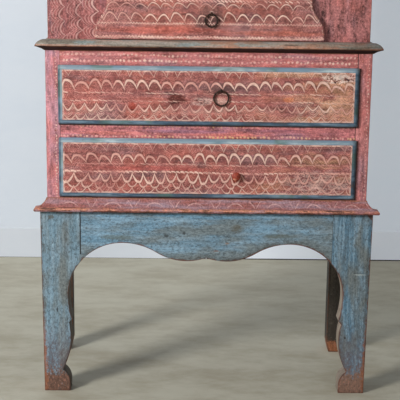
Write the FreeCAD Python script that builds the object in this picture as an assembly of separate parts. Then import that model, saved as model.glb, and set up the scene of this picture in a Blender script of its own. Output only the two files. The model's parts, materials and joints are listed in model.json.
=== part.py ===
# A painted folk cabinet on stand: a blue stand with sawn legs and a scalloped apron, a red chest with
# two lipped drawers, a moulded waist ledge, and a red cupboard with a shaped drawer under its door.
# Millimetres. +Z is up, the front faces -Y, and the origin is on the floor under the middle of the piece.
import FreeCAD, Part
import math
import os

Vector = FreeCAD.Vector

# Stand
STAND_WIDTH = 1000.0
STAND_DEPTH = 430.0
STAND_HEIGHT = 572.0
LEG_TOP_WIDTH = 120.0
LEG_DEPTH = 56.0
LEG_OUTER_TAPER = 6.0
FOOT_INNER = 85.0          # inner edge of the foot, measured in from the stand's side
FOOT_TOE_HEIGHT = 27.0
ANKLE_INNER = 62.0
ANKLE_HEIGHT = 69.0
KNEE_INNER = 89.5
KNEE_HEIGHT = 172.0
NOTCH_INNER = 83.0         # sawn notch above the knee
NOTCH_HEIGHT = 222.0
SPUR_INNER = 92.5          # point over the notch
SPUR_HEIGHT = 234.0
WAIST_INNER = 82.0
REAR_LEG_WIDTH = 78.0
LEFT_REAR_LEG_WIDTH = 56.0  # the left one was cut from a narrower plank
REAR_FOOT_CHAMFER = 8.0
REAR_FOOT_HEIGHT = 34.0
APRON_THICKNESS = 26.0
APRON_CROWN_DEPTH = 97.5   # from the top of the stand to the top of each arch
APRON_LOBE_DEPTH = 152.5   # from the top of the stand to the lowest point of each middle lobe
APRON_LOBE_OFFSET = 60.0
APRON_CROWN_SHARE = 0.53   # share of the crown-to-lobe bend that belongs to the crown
SHOULDER_RADIUS = 165.0
SIDE_APRON_THICKNESS = 22.0
SIDE_APRON_REVEAL = 3.0
SIDE_APRON_DEPTH = 127.0
SIDE_APRON_RISE = 34.0
SIDE_APRON_FLAT = 30.0
REAR_RAIL_DEPTH = 102.0
REAR_RAIL_THICKNESS = 22.0
REAR_RAIL_REVEAL = 6.0
STAND_TENON_LENGTH = 44.0
STAND_TENON_THICKNESS = 10.0
STAND_TENON_SHOULDER = 14.0
STAND_PEG_RADIUS = 4.0
STAND_PEG_DEPTH = 38.0

# Chest
CHEST_SIDE_INSET = 20.0    # chest side inside the stand's side
CHEST_SETBACK = 18.0       # chest face behind the stand's face
CHEST_STILE_WIDTH = 42.0
FRAME_THICKNESS = 24.0
CHEST_BOTTOM_RAIL = 47.0
LOWER_OPENING = 168.0
CHEST_MIDDLE_RAIL = 51.0
UPPER_OPENING = 164.0
CHEST_TOP_RAIL = 47.0
SIDE_THICKNESS = 20.0
BOTTOM_THICKNESS = 18.0
BACK_THICKNESS = 14.0
BACK_REBATE = 10.0
BACK_BOARD_COUNT = 5
BACK_BOARD_GAP = 0.6
TONGUE = 8.0
HOUSING_DEPTH = 8.0
FRAME_TENON_LENGTH = 28.0
FRAME_TENON_THICKNESS = 8.0
FRAME_TENON_SHOULDER = 8.0
FRAME_PEG_RADIUS = 3.0
PEG_SIDES = 6              # pegs are whittled to flats, and bite in holes of the same form
RUNNER_WIDTH = 60.0
RUNNER_THICKNESS = 22.0
GUIDE_HEIGHT = 20.0

# Mouldings
BASE_PROJECTION = 37.0
BASE_HEIGHT = 37.0
BASE_NOSE_HEIGHT = 10.0
BASE_NOSE_ROUND = 3.0
BASE_COVE_FOOT = 15.0      # from the tip of the nose in to the foot of the cove
BASE_COVE_STEP = 2.0
BASE_COVE_TOP = 2.0
MOULDING_RETURN = 3.0      # how far the chest's mouldings go back past its corners
LEDGE_PROJECTION = 27.0
LEDGE_NOSE_HEIGHT = 19.0
LEDGE_EDGE = 3.0           # square edge under the ledge's thumb moulding
LEDGE_THUMB = 25.0
LEDGE_UNDERCUT = 13.0
LEDGE_FOOT = 2.0
CORNICE_PROJECTION = 40.0
CORNICE_HEIGHT = 66.0
CORNICE_BEAD = 12.0
CORNICE_NOSE_HEIGHT = 20.0
CORNICE_NOSE_ROUND = 5.0
CORNICE_BEAD_NECK = 1.0
CORNICE_COVE_FOOT = 3.0
CORNICE_FILLET = 6.0

# Cupboard
CUPBOARD_SIDE_INSET = 6.0  # cupboard side inside the chest's side
CUPBOARD_SETBACK = 22.0    # cupboard face behind the chest's face
CUPBOARD_STILE_WIDTH = 184.0
CUPBOARD_BOTTOM_THICKNESS = 16.0
SMALL_OPENING = 93.0
CUPBOARD_MIDDLE_RAIL = 50.0
DOOR_OPENING = 556.0
CUPBOARD_TOP_RAIL = 86.0
SHELF_THICKNESS = 16.0
SHELF_SETBACK = 20.0
CLEAT_SIZE = 20.0

# Drawers and door
LIP_PROUD = 12.0
LIP_OVERLAP = 5.0
LIP_EDGE = 5.0             # square edge of the lip below its bead
LIP_BEAD_WIDTH = 10.0
LIP_GAP = 0.5
INNER_BLOCK = 12.0
DRAWER_SIDE_CLEARANCE = 1.2
DRAWER_RUN_GAP = 0.3
DRAWER_TOP_CLEARANCE = 3.0
DRAWER_SIDE_THICKNESS = 12.0
DRAWER_BACK_THICKNESS = 12.0
DRAWER_BOTTOM_THICKNESS = 8.0
DRAWER_BOTTOM_UP = 6.0
DRAWER_GROOVE = 5.0
DRAWER_BACK_GAP = 10.0
TAIL_LENGTH = 9.0
TAIL_PITCH = 42.0
TAIL_ROOT_SHARE = 0.28
TAIL_TIP_SHARE = 0.36
SHAPED_FACE_PROUD = 18.0
SHAPED_FACE_COVER = 17.0   # face above its opening
SHAPED_FACE_FLARE = 38.0   # each side, from the head to the foot
SHAPED_FACE_PLUMB = 15.0   # plumb edge under the bend
SHAPED_FACE_PLUMB_TOP = 7.0
SHAPED_FACE_CLEARANCE = 2.0
DOOR_OVERLAP = 8.0
DOOR_STILE_WIDTH = 80.0
DOOR_TOP_RAIL = 80.0
DOOR_BOTTOM_RAIL = 90.0
DOOR_INNER_BLOCK = 10.0
DOOR_TENON_LENGTH = 40.0
DOOR_TENON_SHOULDER = 22.0
PANEL_TONGUE = 6.0
PANEL_GROOVE_DEPTH = 8.0
PANEL_SIDE_CLEARANCE = 1.0
PANEL_FACE_RECESS = 3.0
PANEL_TONGUE_BACK = 8.0    # from the door's face to the front of the panel's tongue
PANEL_BEVEL_WIDTH = 42.0
PANEL_FILLET = 2.0

# Ironwork and knob
RING_RADIUS = 21.6
RING_WIRE = 2.4
SMALL_RING_RADIUS = 18.0
SMALL_RING_WIRE = 2.2
FORGED_SIDES = 8           # rings, eyes and shanks are forged to flats
EYE_PLAY = 1.1             # eye's hole over its ring's wire
EYE_WIRE = 1.3
EYE_SINK = 0.7
EYE_SHANK_RADIUS = 2.8
EYE_CLINCH_LENGTH = 17.0
EYE_CLINCH_WIDTH = 3.0
EYE_CLINCH_THICKNESS = 1.6
RUNNING_CLEARANCE = 0.3
FIT_CLEARANCE = 0.05
CUT_MARGIN = 1.0
UPPER_RING_OFFSET = 37.0   # ring pull of the upper chest drawer, right of the middle
UPPER_RING_ABOVE = 17.5    # eye above the middle of its drawer
SMALL_RING_OFFSET = 5.0
SMALL_RING_ABOVE = 14.0
DOOR_RING_ABOVE = 20.0
KNOB_OFFSET = 86.0
KNOB_BELOW = 20.0
KNOB_RADIUS = 13.0
KNOB_LENGTH = 19.0
KNOB_RIM_FRONT = 11.8      # front of the head's rim, out from the drawer
KNOB_RIM_BACK = 9.8
KNOB_NECK_LENGTH = 4.8
KNOB_NECK_RADIUS = 6.0
KNOB_SHANK_RADIUS = 4.5
HINGE_HEIGHT = 60.0
HINGE_INSET = 68.0         # from the door's end to the hinge
HINGE_LEAF = 40.0
HINGE_PLATE = 2.0
HINGE_BARREL = 4.5
HINGE_PIN = 2.2
HINGE_PIN_CAP = 3.0
HINGE_PIN_PLAY = 1.0
HINGE_EDGE_CLEARANCE = 1.0

# Places worked out from the sizes above
TOTAL_DEPTH = STAND_DEPTH + BASE_PROJECTION - CHEST_SETBACK
BACK_Y = TOTAL_DEPTH / 2
STAND_FRONT = BACK_Y - STAND_DEPTH
CHEST_FRONT = STAND_FRONT + CHEST_SETBACK
CUPBOARD_FRONT = CHEST_FRONT + CUPBOARD_SETBACK
STAND_HALF = STAND_WIDTH / 2
CHEST_HALF = STAND_HALF - CHEST_SIDE_INSET
CUPBOARD_HALF = CHEST_HALF - CUPBOARD_SIDE_INSET
CHEST_CLEAR = CHEST_HALF - CHEST_STILE_WIDTH
CUPBOARD_CLEAR = CUPBOARD_HALF - CUPBOARD_STILE_WIDTH
LOWER_FLOOR = STAND_HEIGHT + CHEST_BOTTOM_RAIL
UPPER_FLOOR = LOWER_FLOOR + LOWER_OPENING + CHEST_MIDDLE_RAIL
CHEST_TOP = UPPER_FLOOR + UPPER_OPENING + CHEST_TOP_RAIL
LEDGE_TOP = CHEST_TOP + LEDGE_UNDERCUT + LEDGE_NOSE_HEIGHT
SMALL_FLOOR = LEDGE_TOP + CUPBOARD_BOTTOM_THICKNESS
DOOR_FLOOR = SMALL_FLOOR + SMALL_OPENING + CUPBOARD_MIDDLE_RAIL
DOOR_HEAD = DOOR_FLOOR + DOOR_OPENING
CUPBOARD_TOP = DOOR_HEAD + CUPBOARD_TOP_RAIL
FULL_HEIGHT = CUPBOARD_TOP + BOTTOM_THICKNESS

pieces = {}


def put(name, *solids):
    """Keeps the solids of one named piece, or group of like pieces, for export."""
    pieces[name] = list(solids)


def block(x0, x1, y0, y1, z0, z1):
    """A square-edged board between two corners."""
    return Part.makeBox(x1 - x0, y1 - y0, z1 - z0, Vector(x0, y0, z0))


def mirrored(solid):
    """The same piece on the other side of the middle."""
    return solid.mirror(Vector(0, 0, 0), Vector(1, 0, 0))


def joined(first, *others):
    """One solid out of pieces that touch or overlap."""
    return first.multiFuse(list(others)).removeSplitter().Solids[0]


def rod(radius, start, end):
    """A round rod between two points."""
    way = Vector(*end) - Vector(*start)
    return Part.makeCylinder(radius, way.Length, Vector(*start), way)


def many_sided(sides, centre, across, up, radius):
    """A flat even-sided face about a centre, in the plane of two directions."""
    corners = []
    for i in range(sides):
        turn = 2 * math.pi * (i + 0.5) / sides
        corners.append(centre + across * (radius * math.sin(turn)) + up * (radius * math.cos(turn)))
    return Part.Face(Part.makePolygon(corners + corners[:1]))


def faceted_rod(sides, radius, start, end):
    """A level rod with flats between two points, such as a whittled peg or a forged shank."""
    way = Vector(*end) - Vector(*start)
    up = Vector(0, 0, 1)
    across = way.cross(up).normalize()
    return many_sided(sides, Vector(*start), across, up, radius).extrude(way)


class Outline:
    """A closed flat outline drawn stretch by stretch; place turns its two numbers into a point in space."""

    def __init__(self, place, start):
        self.place = place
        self.first = start
        self.here = start
        self.edges = []

    def line(self, *points):
        """Straight stretches through the points."""
        for point in points:
            self.edges.append(Part.LineSegment(self.place(*self.here), self.place(*point)).toShape())
            self.here = point
        return self

    def arc(self, through, end):
        """A round stretch through one point."""
        spots = [self.place(*p) for p in (self.here, through, end)]
        self.edges.append(Part.Arc(*spots).toShape())
        self.here = end
        return self

    def arc_leaving(self, direction, end):
        """A round stretch that leaves along a direction."""
        return self.arc(arc_middle(self.here, end, direction), end)

    def arc_arriving(self, direction, end):
        """A round stretch that arrives along a direction."""
        backwards = (-direction[0], -direction[1])
        return self.arc(arc_middle(end, self.here, backwards), end)

    def s_bend(self, direction, end, first_share=0.5):
        """Two round stretches that leave and arrive along one direction and meet on the chord."""
        turn = tuple(a + first_share * (b - a) for a, b in zip(self.here, end))
        return self.arc_leaving(direction, turn).arc_arriving(direction, end)

    def solid(self, way):
        """The closed outline drawn out along a way."""
        if self.here != self.first:
            self.line(self.first)
        return Part.Face(Part.Wire(self.edges)).extrude(Vector(*way))


def arc_middle(start, end, direction):
    """Middle of the arc that leaves start along a direction and ends at end."""
    chord = (end[0] - start[0], end[1] - start[1])
    length = math.hypot(*chord)
    unit = (chord[0] / length, chord[1] / length)
    size = math.hypot(*direction)
    along = (direction[0] * unit[0] + direction[1] * unit[1]) / size
    side = (direction[0] / size - along * unit[0], direction[1] / size - along * unit[1])
    sagitta = length / 2 * math.tan(math.acos(along) / 2) / math.hypot(*side)
    return tuple(start[i] + chord[i] / 2 + side[i] * sagitta for i in (0, 1))


def front_view(y):
    """Places an outline drawn in X and Z at one depth."""
    return lambda x, z: Vector(x, y, z)


def side_view(x):
    """Places an outline drawn in Y and Z at one side."""
    return lambda y, z: Vector(x, y, z)


def top_view(z):
    """Places an outline drawn in X and Y at one height."""
    return lambda x, y: Vector(x, y, z)


def moulding_run(draw, half_width, front, projection, end_y):
    """Front length of one moulding and the two that go round the corners of a case as far as end_y.

    draw(place) gives the outline of the section in (projection, height)."""
    reach = projection + 1.0
    corner = half_width + reach
    long_front = draw(lambda p, z: Vector(-corner, front - p, z)).solid((2 * corner, 0, 0))
    mitre = Outline(top_view(0), (-half_width, front))
    mitre.line((half_width, front), (corner, front - reach), (-corner, front - reach))
    front_piece = long_front.common(mitre.solid((0, 0, FULL_HEIGHT))).Solids[0]
    long_side = draw(lambda p, z: Vector(half_width + p, front - reach, z))
    long_side = long_side.solid((0, end_y - front + reach, 0))
    end = Outline(top_view(0), (half_width, front))
    end.line((corner, front - reach), (corner, end_y), (half_width, end_y))
    right = long_side.common(end.solid((0, 0, FULL_HEIGHT))).Solids[0]
    return front_piece, mirrored(right), right


def tenons(x_inner, length, y_middle, thickness, z0, z1):
    """Tenons on both ends of a rail that lies along X."""
    right = block(x_inner, x_inner + length, y_middle - thickness / 2, y_middle + thickness / 2, z0, z1)
    return right, mirrored(right)


def back_boards(half_width, z0, z1):
    """Upright back boards side by side in the rebate of a case."""
    width = 2 * half_width / BACK_BOARD_COUNT
    boards = []
    for i in range(BACK_BOARD_COUNT):
        left = -half_width + i * width
        boards.append(block(left + BACK_BOARD_GAP / 2, left + width - BACK_BOARD_GAP / 2,
                            BACK_Y - BACK_THICKNESS, BACK_Y, z0, z1))
    return boards


# Stand

WAIST_X = STAND_HALF - WAIST_INNER
CROWN_X = WAIST_X - SHOULDER_RADIUS
CROWN_Z = STAND_HEIGHT - APRON_CROWN_DEPTH
WAIST_Z = CROWN_Z - SHOULDER_RADIUS
JOINT_X = STAND_HALF - LEG_TOP_WIDTH
JOINT_Z = WAIST_Z + math.sqrt(SHOULDER_RADIUS ** 2 - (JOINT_X - CROWN_X) ** 2)
LOBE_Z = STAND_HEIGHT - APRON_LOBE_DEPTH
REAR_JOINT_X = STAND_HALF - REAR_LEG_WIDTH
LEFT_REAR_JOINT_X = STAND_HALF - LEFT_REAR_LEG_WIDTH
SIDE_APRON_OUTER = STAND_HALF - SIDE_APRON_REVEAL
SIDE_APRON_MIDDLE = SIDE_APRON_OUTER - SIDE_APRON_THICKNESS / 2
SIDE_APRON_START = STAND_FRONT + LEG_DEPTH
SIDE_APRON_END = BACK_Y - LEG_DEPTH
SIDE_APRON_FOOT = STAND_HEIGHT - SIDE_APRON_DEPTH
REAR_RAIL_Y = BACK_Y - REAR_RAIL_REVEAL - REAR_RAIL_THICKNESS / 2
SIDE_TENON_LENGTH = STAND_TENON_LENGTH * 0.75


def front_leg():
    """Right front leg: a plank sawn to a foot, ankle, notched knee and a waist that meets the apron."""
    up = (0, 1)
    toe = (STAND_HALF - FOOT_INNER, FOOT_TOE_HEIGHT)
    ankle = (STAND_HALF - ANKLE_INNER, ANKLE_HEIGHT)
    knee = (STAND_HALF - KNEE_INNER, KNEE_HEIGHT)
    notch = (STAND_HALF - NOTCH_INNER, NOTCH_HEIGHT)
    spur = (STAND_HALF - SPUR_INNER, SPUR_HEIGHT)
    sawn = Outline(front_view(STAND_FRONT), (STAND_HALF, STAND_HEIGHT))
    sawn.line((STAND_HALF - LEG_OUTER_TAPER, 0), (toe[0], 0), toe)
    sawn.arc_leaving(up, ankle)
    sawn.arc_arriving(up, knee)
    sawn.arc_leaving(up, notch)
    sawn.line(spur)
    sawn.arc_arriving(up, (WAIST_X, WAIST_Z))
    sawn.arc_leaving(up, (JOINT_X, JOINT_Z))
    sawn.line((JOINT_X, STAND_HEIGHT))
    return sawn.solid((0, LEG_DEPTH, 0))


def rear_leg(inner_x):
    """Rear leg on the right: a plain post with a chamfered foot."""
    post = Outline(front_view(BACK_Y - LEG_DEPTH), (STAND_HALF, STAND_HEIGHT))
    post.line((STAND_HALF - LEG_OUTER_TAPER, 0), (inner_x + REAR_FOOT_CHAMFER, 0),
              (inner_x, REAR_FOOT_HEIGHT), (inner_x, STAND_HEIGHT))
    return post.solid((0, LEG_DEPTH, 0))


def front_apron():
    """Scalloped front apron: an arch beside each leg and two lobes that meet in a cusp in the middle."""
    inwards = (-1, 0)
    crown_to_lobe = CROWN_X - APRON_LOBE_OFFSET
    drop = CROWN_Z - LOBE_Z
    lobe_radius = (1 - APRON_CROWN_SHARE) * (crown_to_lobe ** 2 + drop ** 2) / (2 * drop)
    cusp = (0, LOBE_Z + lobe_radius - math.sqrt(lobe_radius ** 2 - APRON_LOBE_OFFSET ** 2))
    half = Outline(front_view(STAND_FRONT), (0, STAND_HEIGHT))
    half.line((JOINT_X, STAND_HEIGHT), (JOINT_X, JOINT_Z))
    half.arc_arriving(inwards, (CROWN_X, CROWN_Z))
    half.s_bend(inwards, (APRON_LOBE_OFFSET, LOBE_Z), APRON_CROWN_SHARE)
    half.arc_leaving(inwards, cusp)
    right = half.solid((0, APRON_THICKNESS, 0))
    return joined(right, mirrored(right))


def side_apron():
    """Right side apron: a board with a low arch between the legs."""
    inner = SIDE_APRON_OUTER - SIDE_APRON_THICKNESS
    ahead = (1, 0)
    start = SIDE_APRON_START + SIDE_APRON_FLAT
    end = SIDE_APRON_END - SIDE_APRON_FLAT
    middle = ((start + end) / 2, SIDE_APRON_FOOT + SIDE_APRON_RISE)
    board = Outline(side_view(inner), (SIDE_APRON_START, STAND_HEIGHT))
    board.line((SIDE_APRON_START, SIDE_APRON_FOOT), (start, SIDE_APRON_FOOT))
    board.s_bend(ahead, middle)
    board.s_bend(ahead, (end, SIDE_APRON_FOOT))
    board.line((SIDE_APRON_END, SIDE_APRON_FOOT), (SIDE_APRON_END, STAND_HEIGHT))
    return board.solid((SIDE_APRON_THICKNESS, 0, 0))


def stand_pegs(rear_inner_x, top):
    """Pegs of the stand's right side, their holes, and the holes' mouths in the tapered side of the legs."""
    heights = (top - 2 * STAND_TENON_SHOULDER, top - 5 * STAND_TENON_SHOULDER)
    leg_side = STAND_HALF - LEG_OUTER_TAPER * (1 - heights[-1] / STAND_HEIGHT)
    front_x = JOINT_X + STAND_TENON_LENGTH / 2
    rear_x = rear_inner_x + STAND_TENON_LENGTH / 2
    ways, side_ways = [], []
    for z in heights:
        rear_z = z + STAND_TENON_SHOULDER
        ways.append(((front_x, STAND_FRONT, z), (front_x, STAND_FRONT + STAND_PEG_DEPTH, z)))
        ways.append(((rear_x, BACK_Y, rear_z), (rear_x, BACK_Y - STAND_PEG_DEPTH, rear_z)))
        for y in (SIDE_APRON_START - SIDE_TENON_LENGTH / 2, SIDE_APRON_END + SIDE_TENON_LENGTH / 2):
            side_ways.append(((leg_side, y, z), (leg_side - STAND_PEG_DEPTH, y, z)))
    mouths = [((STAND_HALF, start[1], start[2]), end) for start, end in side_ways]
    pegs = [faceted_rod(PEG_SIDES, STAND_PEG_RADIUS - FIT_CLEARANCE, *way) for way in ways + side_ways]
    holes, wide_holes = [Part.makeCompound([faceted_rod(PEG_SIDES, STAND_PEG_RADIUS, *way) for way in group])
                         for group in (ways + side_ways, mouths)]
    return pegs, holes, wide_holes


def build_stand():
    """Four legs, three aprons and a rear rail, mortised, tenoned and pegged."""
    top = STAND_HEIGHT - STAND_TENON_SHOULDER
    front_tenons = tenons(JOINT_X, STAND_TENON_LENGTH, STAND_FRONT + APRON_THICKNESS / 2,
                          STAND_TENON_THICKNESS, JOINT_Z + STAND_TENON_SHOULDER, top)
    rear_foot = STAND_HEIGHT - REAR_RAIL_DEPTH
    rear_tenon, left_rear_tenon = [
        tenons(inner_x, STAND_TENON_LENGTH, REAR_RAIL_Y, STAND_TENON_THICKNESS,
               rear_foot + STAND_TENON_SHOULDER, top)[0] for inner_x in (REAR_JOINT_X, LEFT_REAR_JOINT_X)]
    side_low = SIDE_APRON_FOOT + STAND_TENON_SHOULDER
    side_span = (SIDE_APRON_MIDDLE - STAND_TENON_THICKNESS / 2, SIDE_APRON_MIDDLE + STAND_TENON_THICKNESS / 2)
    to_front = block(*side_span, SIDE_APRON_START - SIDE_TENON_LENGTH, SIDE_APRON_START, side_low, top)
    to_rear = block(*side_span, SIDE_APRON_END, SIDE_APRON_END + SIDE_TENON_LENGTH, side_low, top)

    pegs, holes, mouths = stand_pegs(REAR_JOINT_X, top)
    left_pegs, left_holes, _ = stand_pegs(LEFT_REAR_JOINT_X, top)
    leg = front_leg().cut(front_tenons[0]).cut(to_front).cut(holes).cut(mouths).Solids[0]
    rear = rear_leg(REAR_JOINT_X).cut(rear_tenon).cut(to_rear).cut(holes).cut(mouths).Solids[0]
    left_rear = rear_leg(LEFT_REAR_JOINT_X).cut(left_rear_tenon).cut(to_rear)
    left_rear = left_rear.cut(left_holes).cut(mouths).Solids[0]
    side = joined(side_apron(), to_front, to_rear).cut(holes).Solids[0]
    apron = joined(front_apron(), *front_tenons).cut(holes).cut(mirrored(holes)).Solids[0]
    rail = block(-LEFT_REAR_JOINT_X, REAR_JOINT_X, REAR_RAIL_Y - REAR_RAIL_THICKNESS / 2,
                 REAR_RAIL_Y + REAR_RAIL_THICKNESS / 2, rear_foot, STAND_HEIGHT)
    rail = joined(rail, rear_tenon, mirrored(left_rear_tenon)).cut(holes).cut(mirrored(left_holes)).Solids[0]
    put("stand_leg_front_right", leg)
    put("stand_leg_front_left", mirrored(leg))
    put("stand_leg_rear_right", rear)
    put("stand_leg_rear_left", mirrored(left_rear))
    put("stand_apron_front", apron)
    put("stand_apron_right", side)
    put("stand_apron_left", mirrored(side))
    put("stand_rail_rear", rail)
    put("stand_joint_pegs", *pegs, *[mirrored(peg) for peg in left_pegs])


# Mouldings

def base_section(place):
    """Base moulding: a rounded nose with a cove rising from it to the chest."""
    nose_top = STAND_HEIGHT + BASE_NOSE_HEIGHT
    top = STAND_HEIGHT + BASE_HEIGHT
    shoulder = BASE_PROJECTION - BASE_NOSE_ROUND
    cove_foot = BASE_PROJECTION - BASE_COVE_FOOT
    section = Outline(place, (0, STAND_HEIGHT))
    section.line((shoulder, STAND_HEIGHT))
    section.arc((BASE_PROJECTION, (STAND_HEIGHT + nose_top) / 2), (shoulder, nose_top))
    section.line((cove_foot, nose_top + BASE_COVE_STEP))
    section.arc_arriving((-1, 3), (BASE_COVE_TOP, top))
    return section.line((0, top))


def ledge_section(place):
    """Waist ledge: a thumb moulding and a thin square edge over a hollow undercut."""
    nose_foot = CHEST_TOP + LEDGE_UNDERCUT
    section = Outline(place, (0, CHEST_TOP))
    section.line((LEDGE_FOOT, CHEST_TOP))
    section.arc_leaving((6, 5), (LEDGE_PROJECTION, nose_foot))
    section.line((LEDGE_PROJECTION, nose_foot + LEDGE_EDGE))
    section.arc_arriving((-1, 0), (LEDGE_PROJECTION - LEDGE_THUMB, LEDGE_TOP))
    return section.line((0, LEDGE_TOP))


def cornice_section(place):
    """Cornice: a bead, a cove and a rounded nose."""
    foot = FULL_HEIGHT - CORNICE_HEIGHT
    bead_top = foot + CORNICE_BEAD
    nose_foot = FULL_HEIGHT - CORNICE_NOSE_HEIGHT
    bead_out = CORNICE_BEAD / 2
    shoulder = CORNICE_PROJECTION - CORNICE_NOSE_ROUND
    section = Outline(place, (0, foot))
    section.arc((bead_out, (foot + bead_top) / 2), (CORNICE_BEAD_NECK, bead_top))
    section.line((CORNICE_COVE_FOOT, bead_top))
    section.arc_leaving((0, 1), (shoulder - CORNICE_FILLET, nose_foot))
    section.line((shoulder, nose_foot))
    section.arc((CORNICE_PROJECTION, (nose_foot + FULL_HEIGHT) / 2), (shoulder, FULL_HEIGHT))
    return section.line((0, FULL_HEIGHT))


def build_mouldings():
    """Base moulding and cornice as mitred lengths, and the ledge as one moulded board."""
    returned = CHEST_FRONT + MOULDING_RETURN
    put("base_moulding", *moulding_run(base_section, CHEST_HALF, CHEST_FRONT, BASE_PROJECTION, returned))
    put("cornice", *moulding_run(cornice_section, CUPBOARD_HALF, CUPBOARD_FRONT, CORNICE_PROJECTION, BACK_Y))
    core = block(-CHEST_HALF, CHEST_HALF, CHEST_FRONT, BACK_Y, CHEST_TOP, LEDGE_TOP)
    nosing = moulding_run(ledge_section, CHEST_HALF, CHEST_FRONT, LEDGE_PROJECTION, returned)
    put("waist_ledge", joined(core, *nosing))


# Cases

def framed_rail(clear, front, z0, z1):
    """A rail between two stiles, with its tenons; gives the rail and the tenons."""
    middle = front + (FRAME_THICKNESS - TONGUE) / 2
    ends = tenons(clear, FRAME_TENON_LENGTH, middle, FRAME_TENON_THICKNESS,
                  z0 + FRAME_TENON_SHOULDER, z1 - FRAME_TENON_SHOULDER)
    return joined(block(-clear, clear, front, front + FRAME_THICKNESS, z0, z1), *ends), ends[0]


def face_frame(half_width, clear, front, z0, z1, rails):
    """Right stile, rails by name and right-hand pegs of a pegged face frame."""
    stile = block(clear, half_width, front, front + FRAME_THICKNESS, z0, z1)
    groove = block(half_width - SIDE_THICKNESS + (SIDE_THICKNESS - TONGUE) / 2,
                   half_width - (SIDE_THICKNESS - TONGUE) / 2,
                   front + FRAME_THICKNESS - TONGUE, front + FRAME_THICKNESS, z0, z1)
    stile = stile.cut(groove)
    made, pegs = {}, []
    for name, (low, high) in rails.items():
        rail, tenon = framed_rail(clear, front, low, high)
        x = clear + FRAME_TENON_LENGTH / 2
        z = (low + high) / 2
        way = ((x, front, z), (x, front + FRAME_THICKNESS - TONGUE - FIT_CLEARANCE, z))
        hole = faceted_rod(PEG_SIDES, FRAME_PEG_RADIUS, *way)
        pegs.append(faceted_rod(PEG_SIDES, FRAME_PEG_RADIUS - FIT_CLEARANCE, *way))
        stile = stile.cut(tenon).cut(hole)
        made[name] = rail.cut(hole).cut(mirrored(hole)).Solids[0]
    return stile.Solids[0], made, pegs


def case_side(half_width, front, z0, z1):
    """Right side board of a case: a tongue into the stile and a rebate for the back boards."""
    inner = half_width - SIDE_THICKNESS
    start = front + FRAME_THICKNESS
    board = block(inner, half_width, start, BACK_Y, z0, z1)
    tongue = block(inner + (SIDE_THICKNESS - TONGUE) / 2, half_width - (SIDE_THICKNESS - TONGUE) / 2,
                   start - TONGUE, start, z0, z1)
    rebate = block(inner, inner + BACK_REBATE, BACK_Y - BACK_THICKNESS, BACK_Y, z0, z1)
    return joined(board, tongue).cut(rebate).Solids[0]


def build_chest():
    """Face frame, sides, bottom, back and drawer bearers of the chest."""
    rails = {
        "chest_rail_bottom": (STAND_HEIGHT, LOWER_FLOOR),
        "chest_rail_middle": (LOWER_FLOOR + LOWER_OPENING, UPPER_FLOOR),
        "chest_rail_top": (UPPER_FLOOR + UPPER_OPENING, CHEST_TOP),
    }
    stile, made, pegs = face_frame(CHEST_HALF, CHEST_CLEAR, CHEST_FRONT, STAND_HEIGHT, CHEST_TOP, rails)
    put("chest_stile_right", stile)
    put("chest_stile_left", mirrored(stile))
    for name, rail in made.items():
        put(name, rail)
    inner = CHEST_HALF - SIDE_THICKNESS
    start = CHEST_FRONT + FRAME_THICKNESS
    end = BACK_Y - BACK_THICKNESS
    bottom = block(-inner - HOUSING_DEPTH, inner + HOUSING_DEPTH, start, end,
                   LOWER_FLOOR - BOTTOM_THICKNESS, LOWER_FLOOR)
    side = case_side(CHEST_HALF, CHEST_FRONT, STAND_HEIGHT, CHEST_TOP).cut(bottom).Solids[0]
    put("chest_side_right", side)
    put("chest_side_left", mirrored(side))
    put("chest_bottom", bottom)
    put("chest_back_boards", *back_boards(inner + BACK_REBATE, STAND_HEIGHT, CHEST_TOP))
    upper_head = UPPER_FLOOR + UPPER_OPENING
    runner = block(inner - RUNNER_WIDTH, inner, start, end, UPPER_FLOOR - RUNNER_THICKNESS, UPPER_FLOOR)
    kicker = block(inner - RUNNER_WIDTH, inner, start, end, upper_head, upper_head + RUNNER_THICKNESS)
    upper_guide = block(CHEST_CLEAR, inner, start, end, UPPER_FLOOR, UPPER_FLOOR + GUIDE_HEIGHT)
    lower_guide = block(CHEST_CLEAR, inner, start, end, LOWER_FLOOR, LOWER_FLOOR + GUIDE_HEIGHT)
    bearers = [runner, kicker, upper_guide, lower_guide]
    put("chest_drawer_runners", *bearers, *[mirrored(b) for b in bearers])
    return pegs


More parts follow.
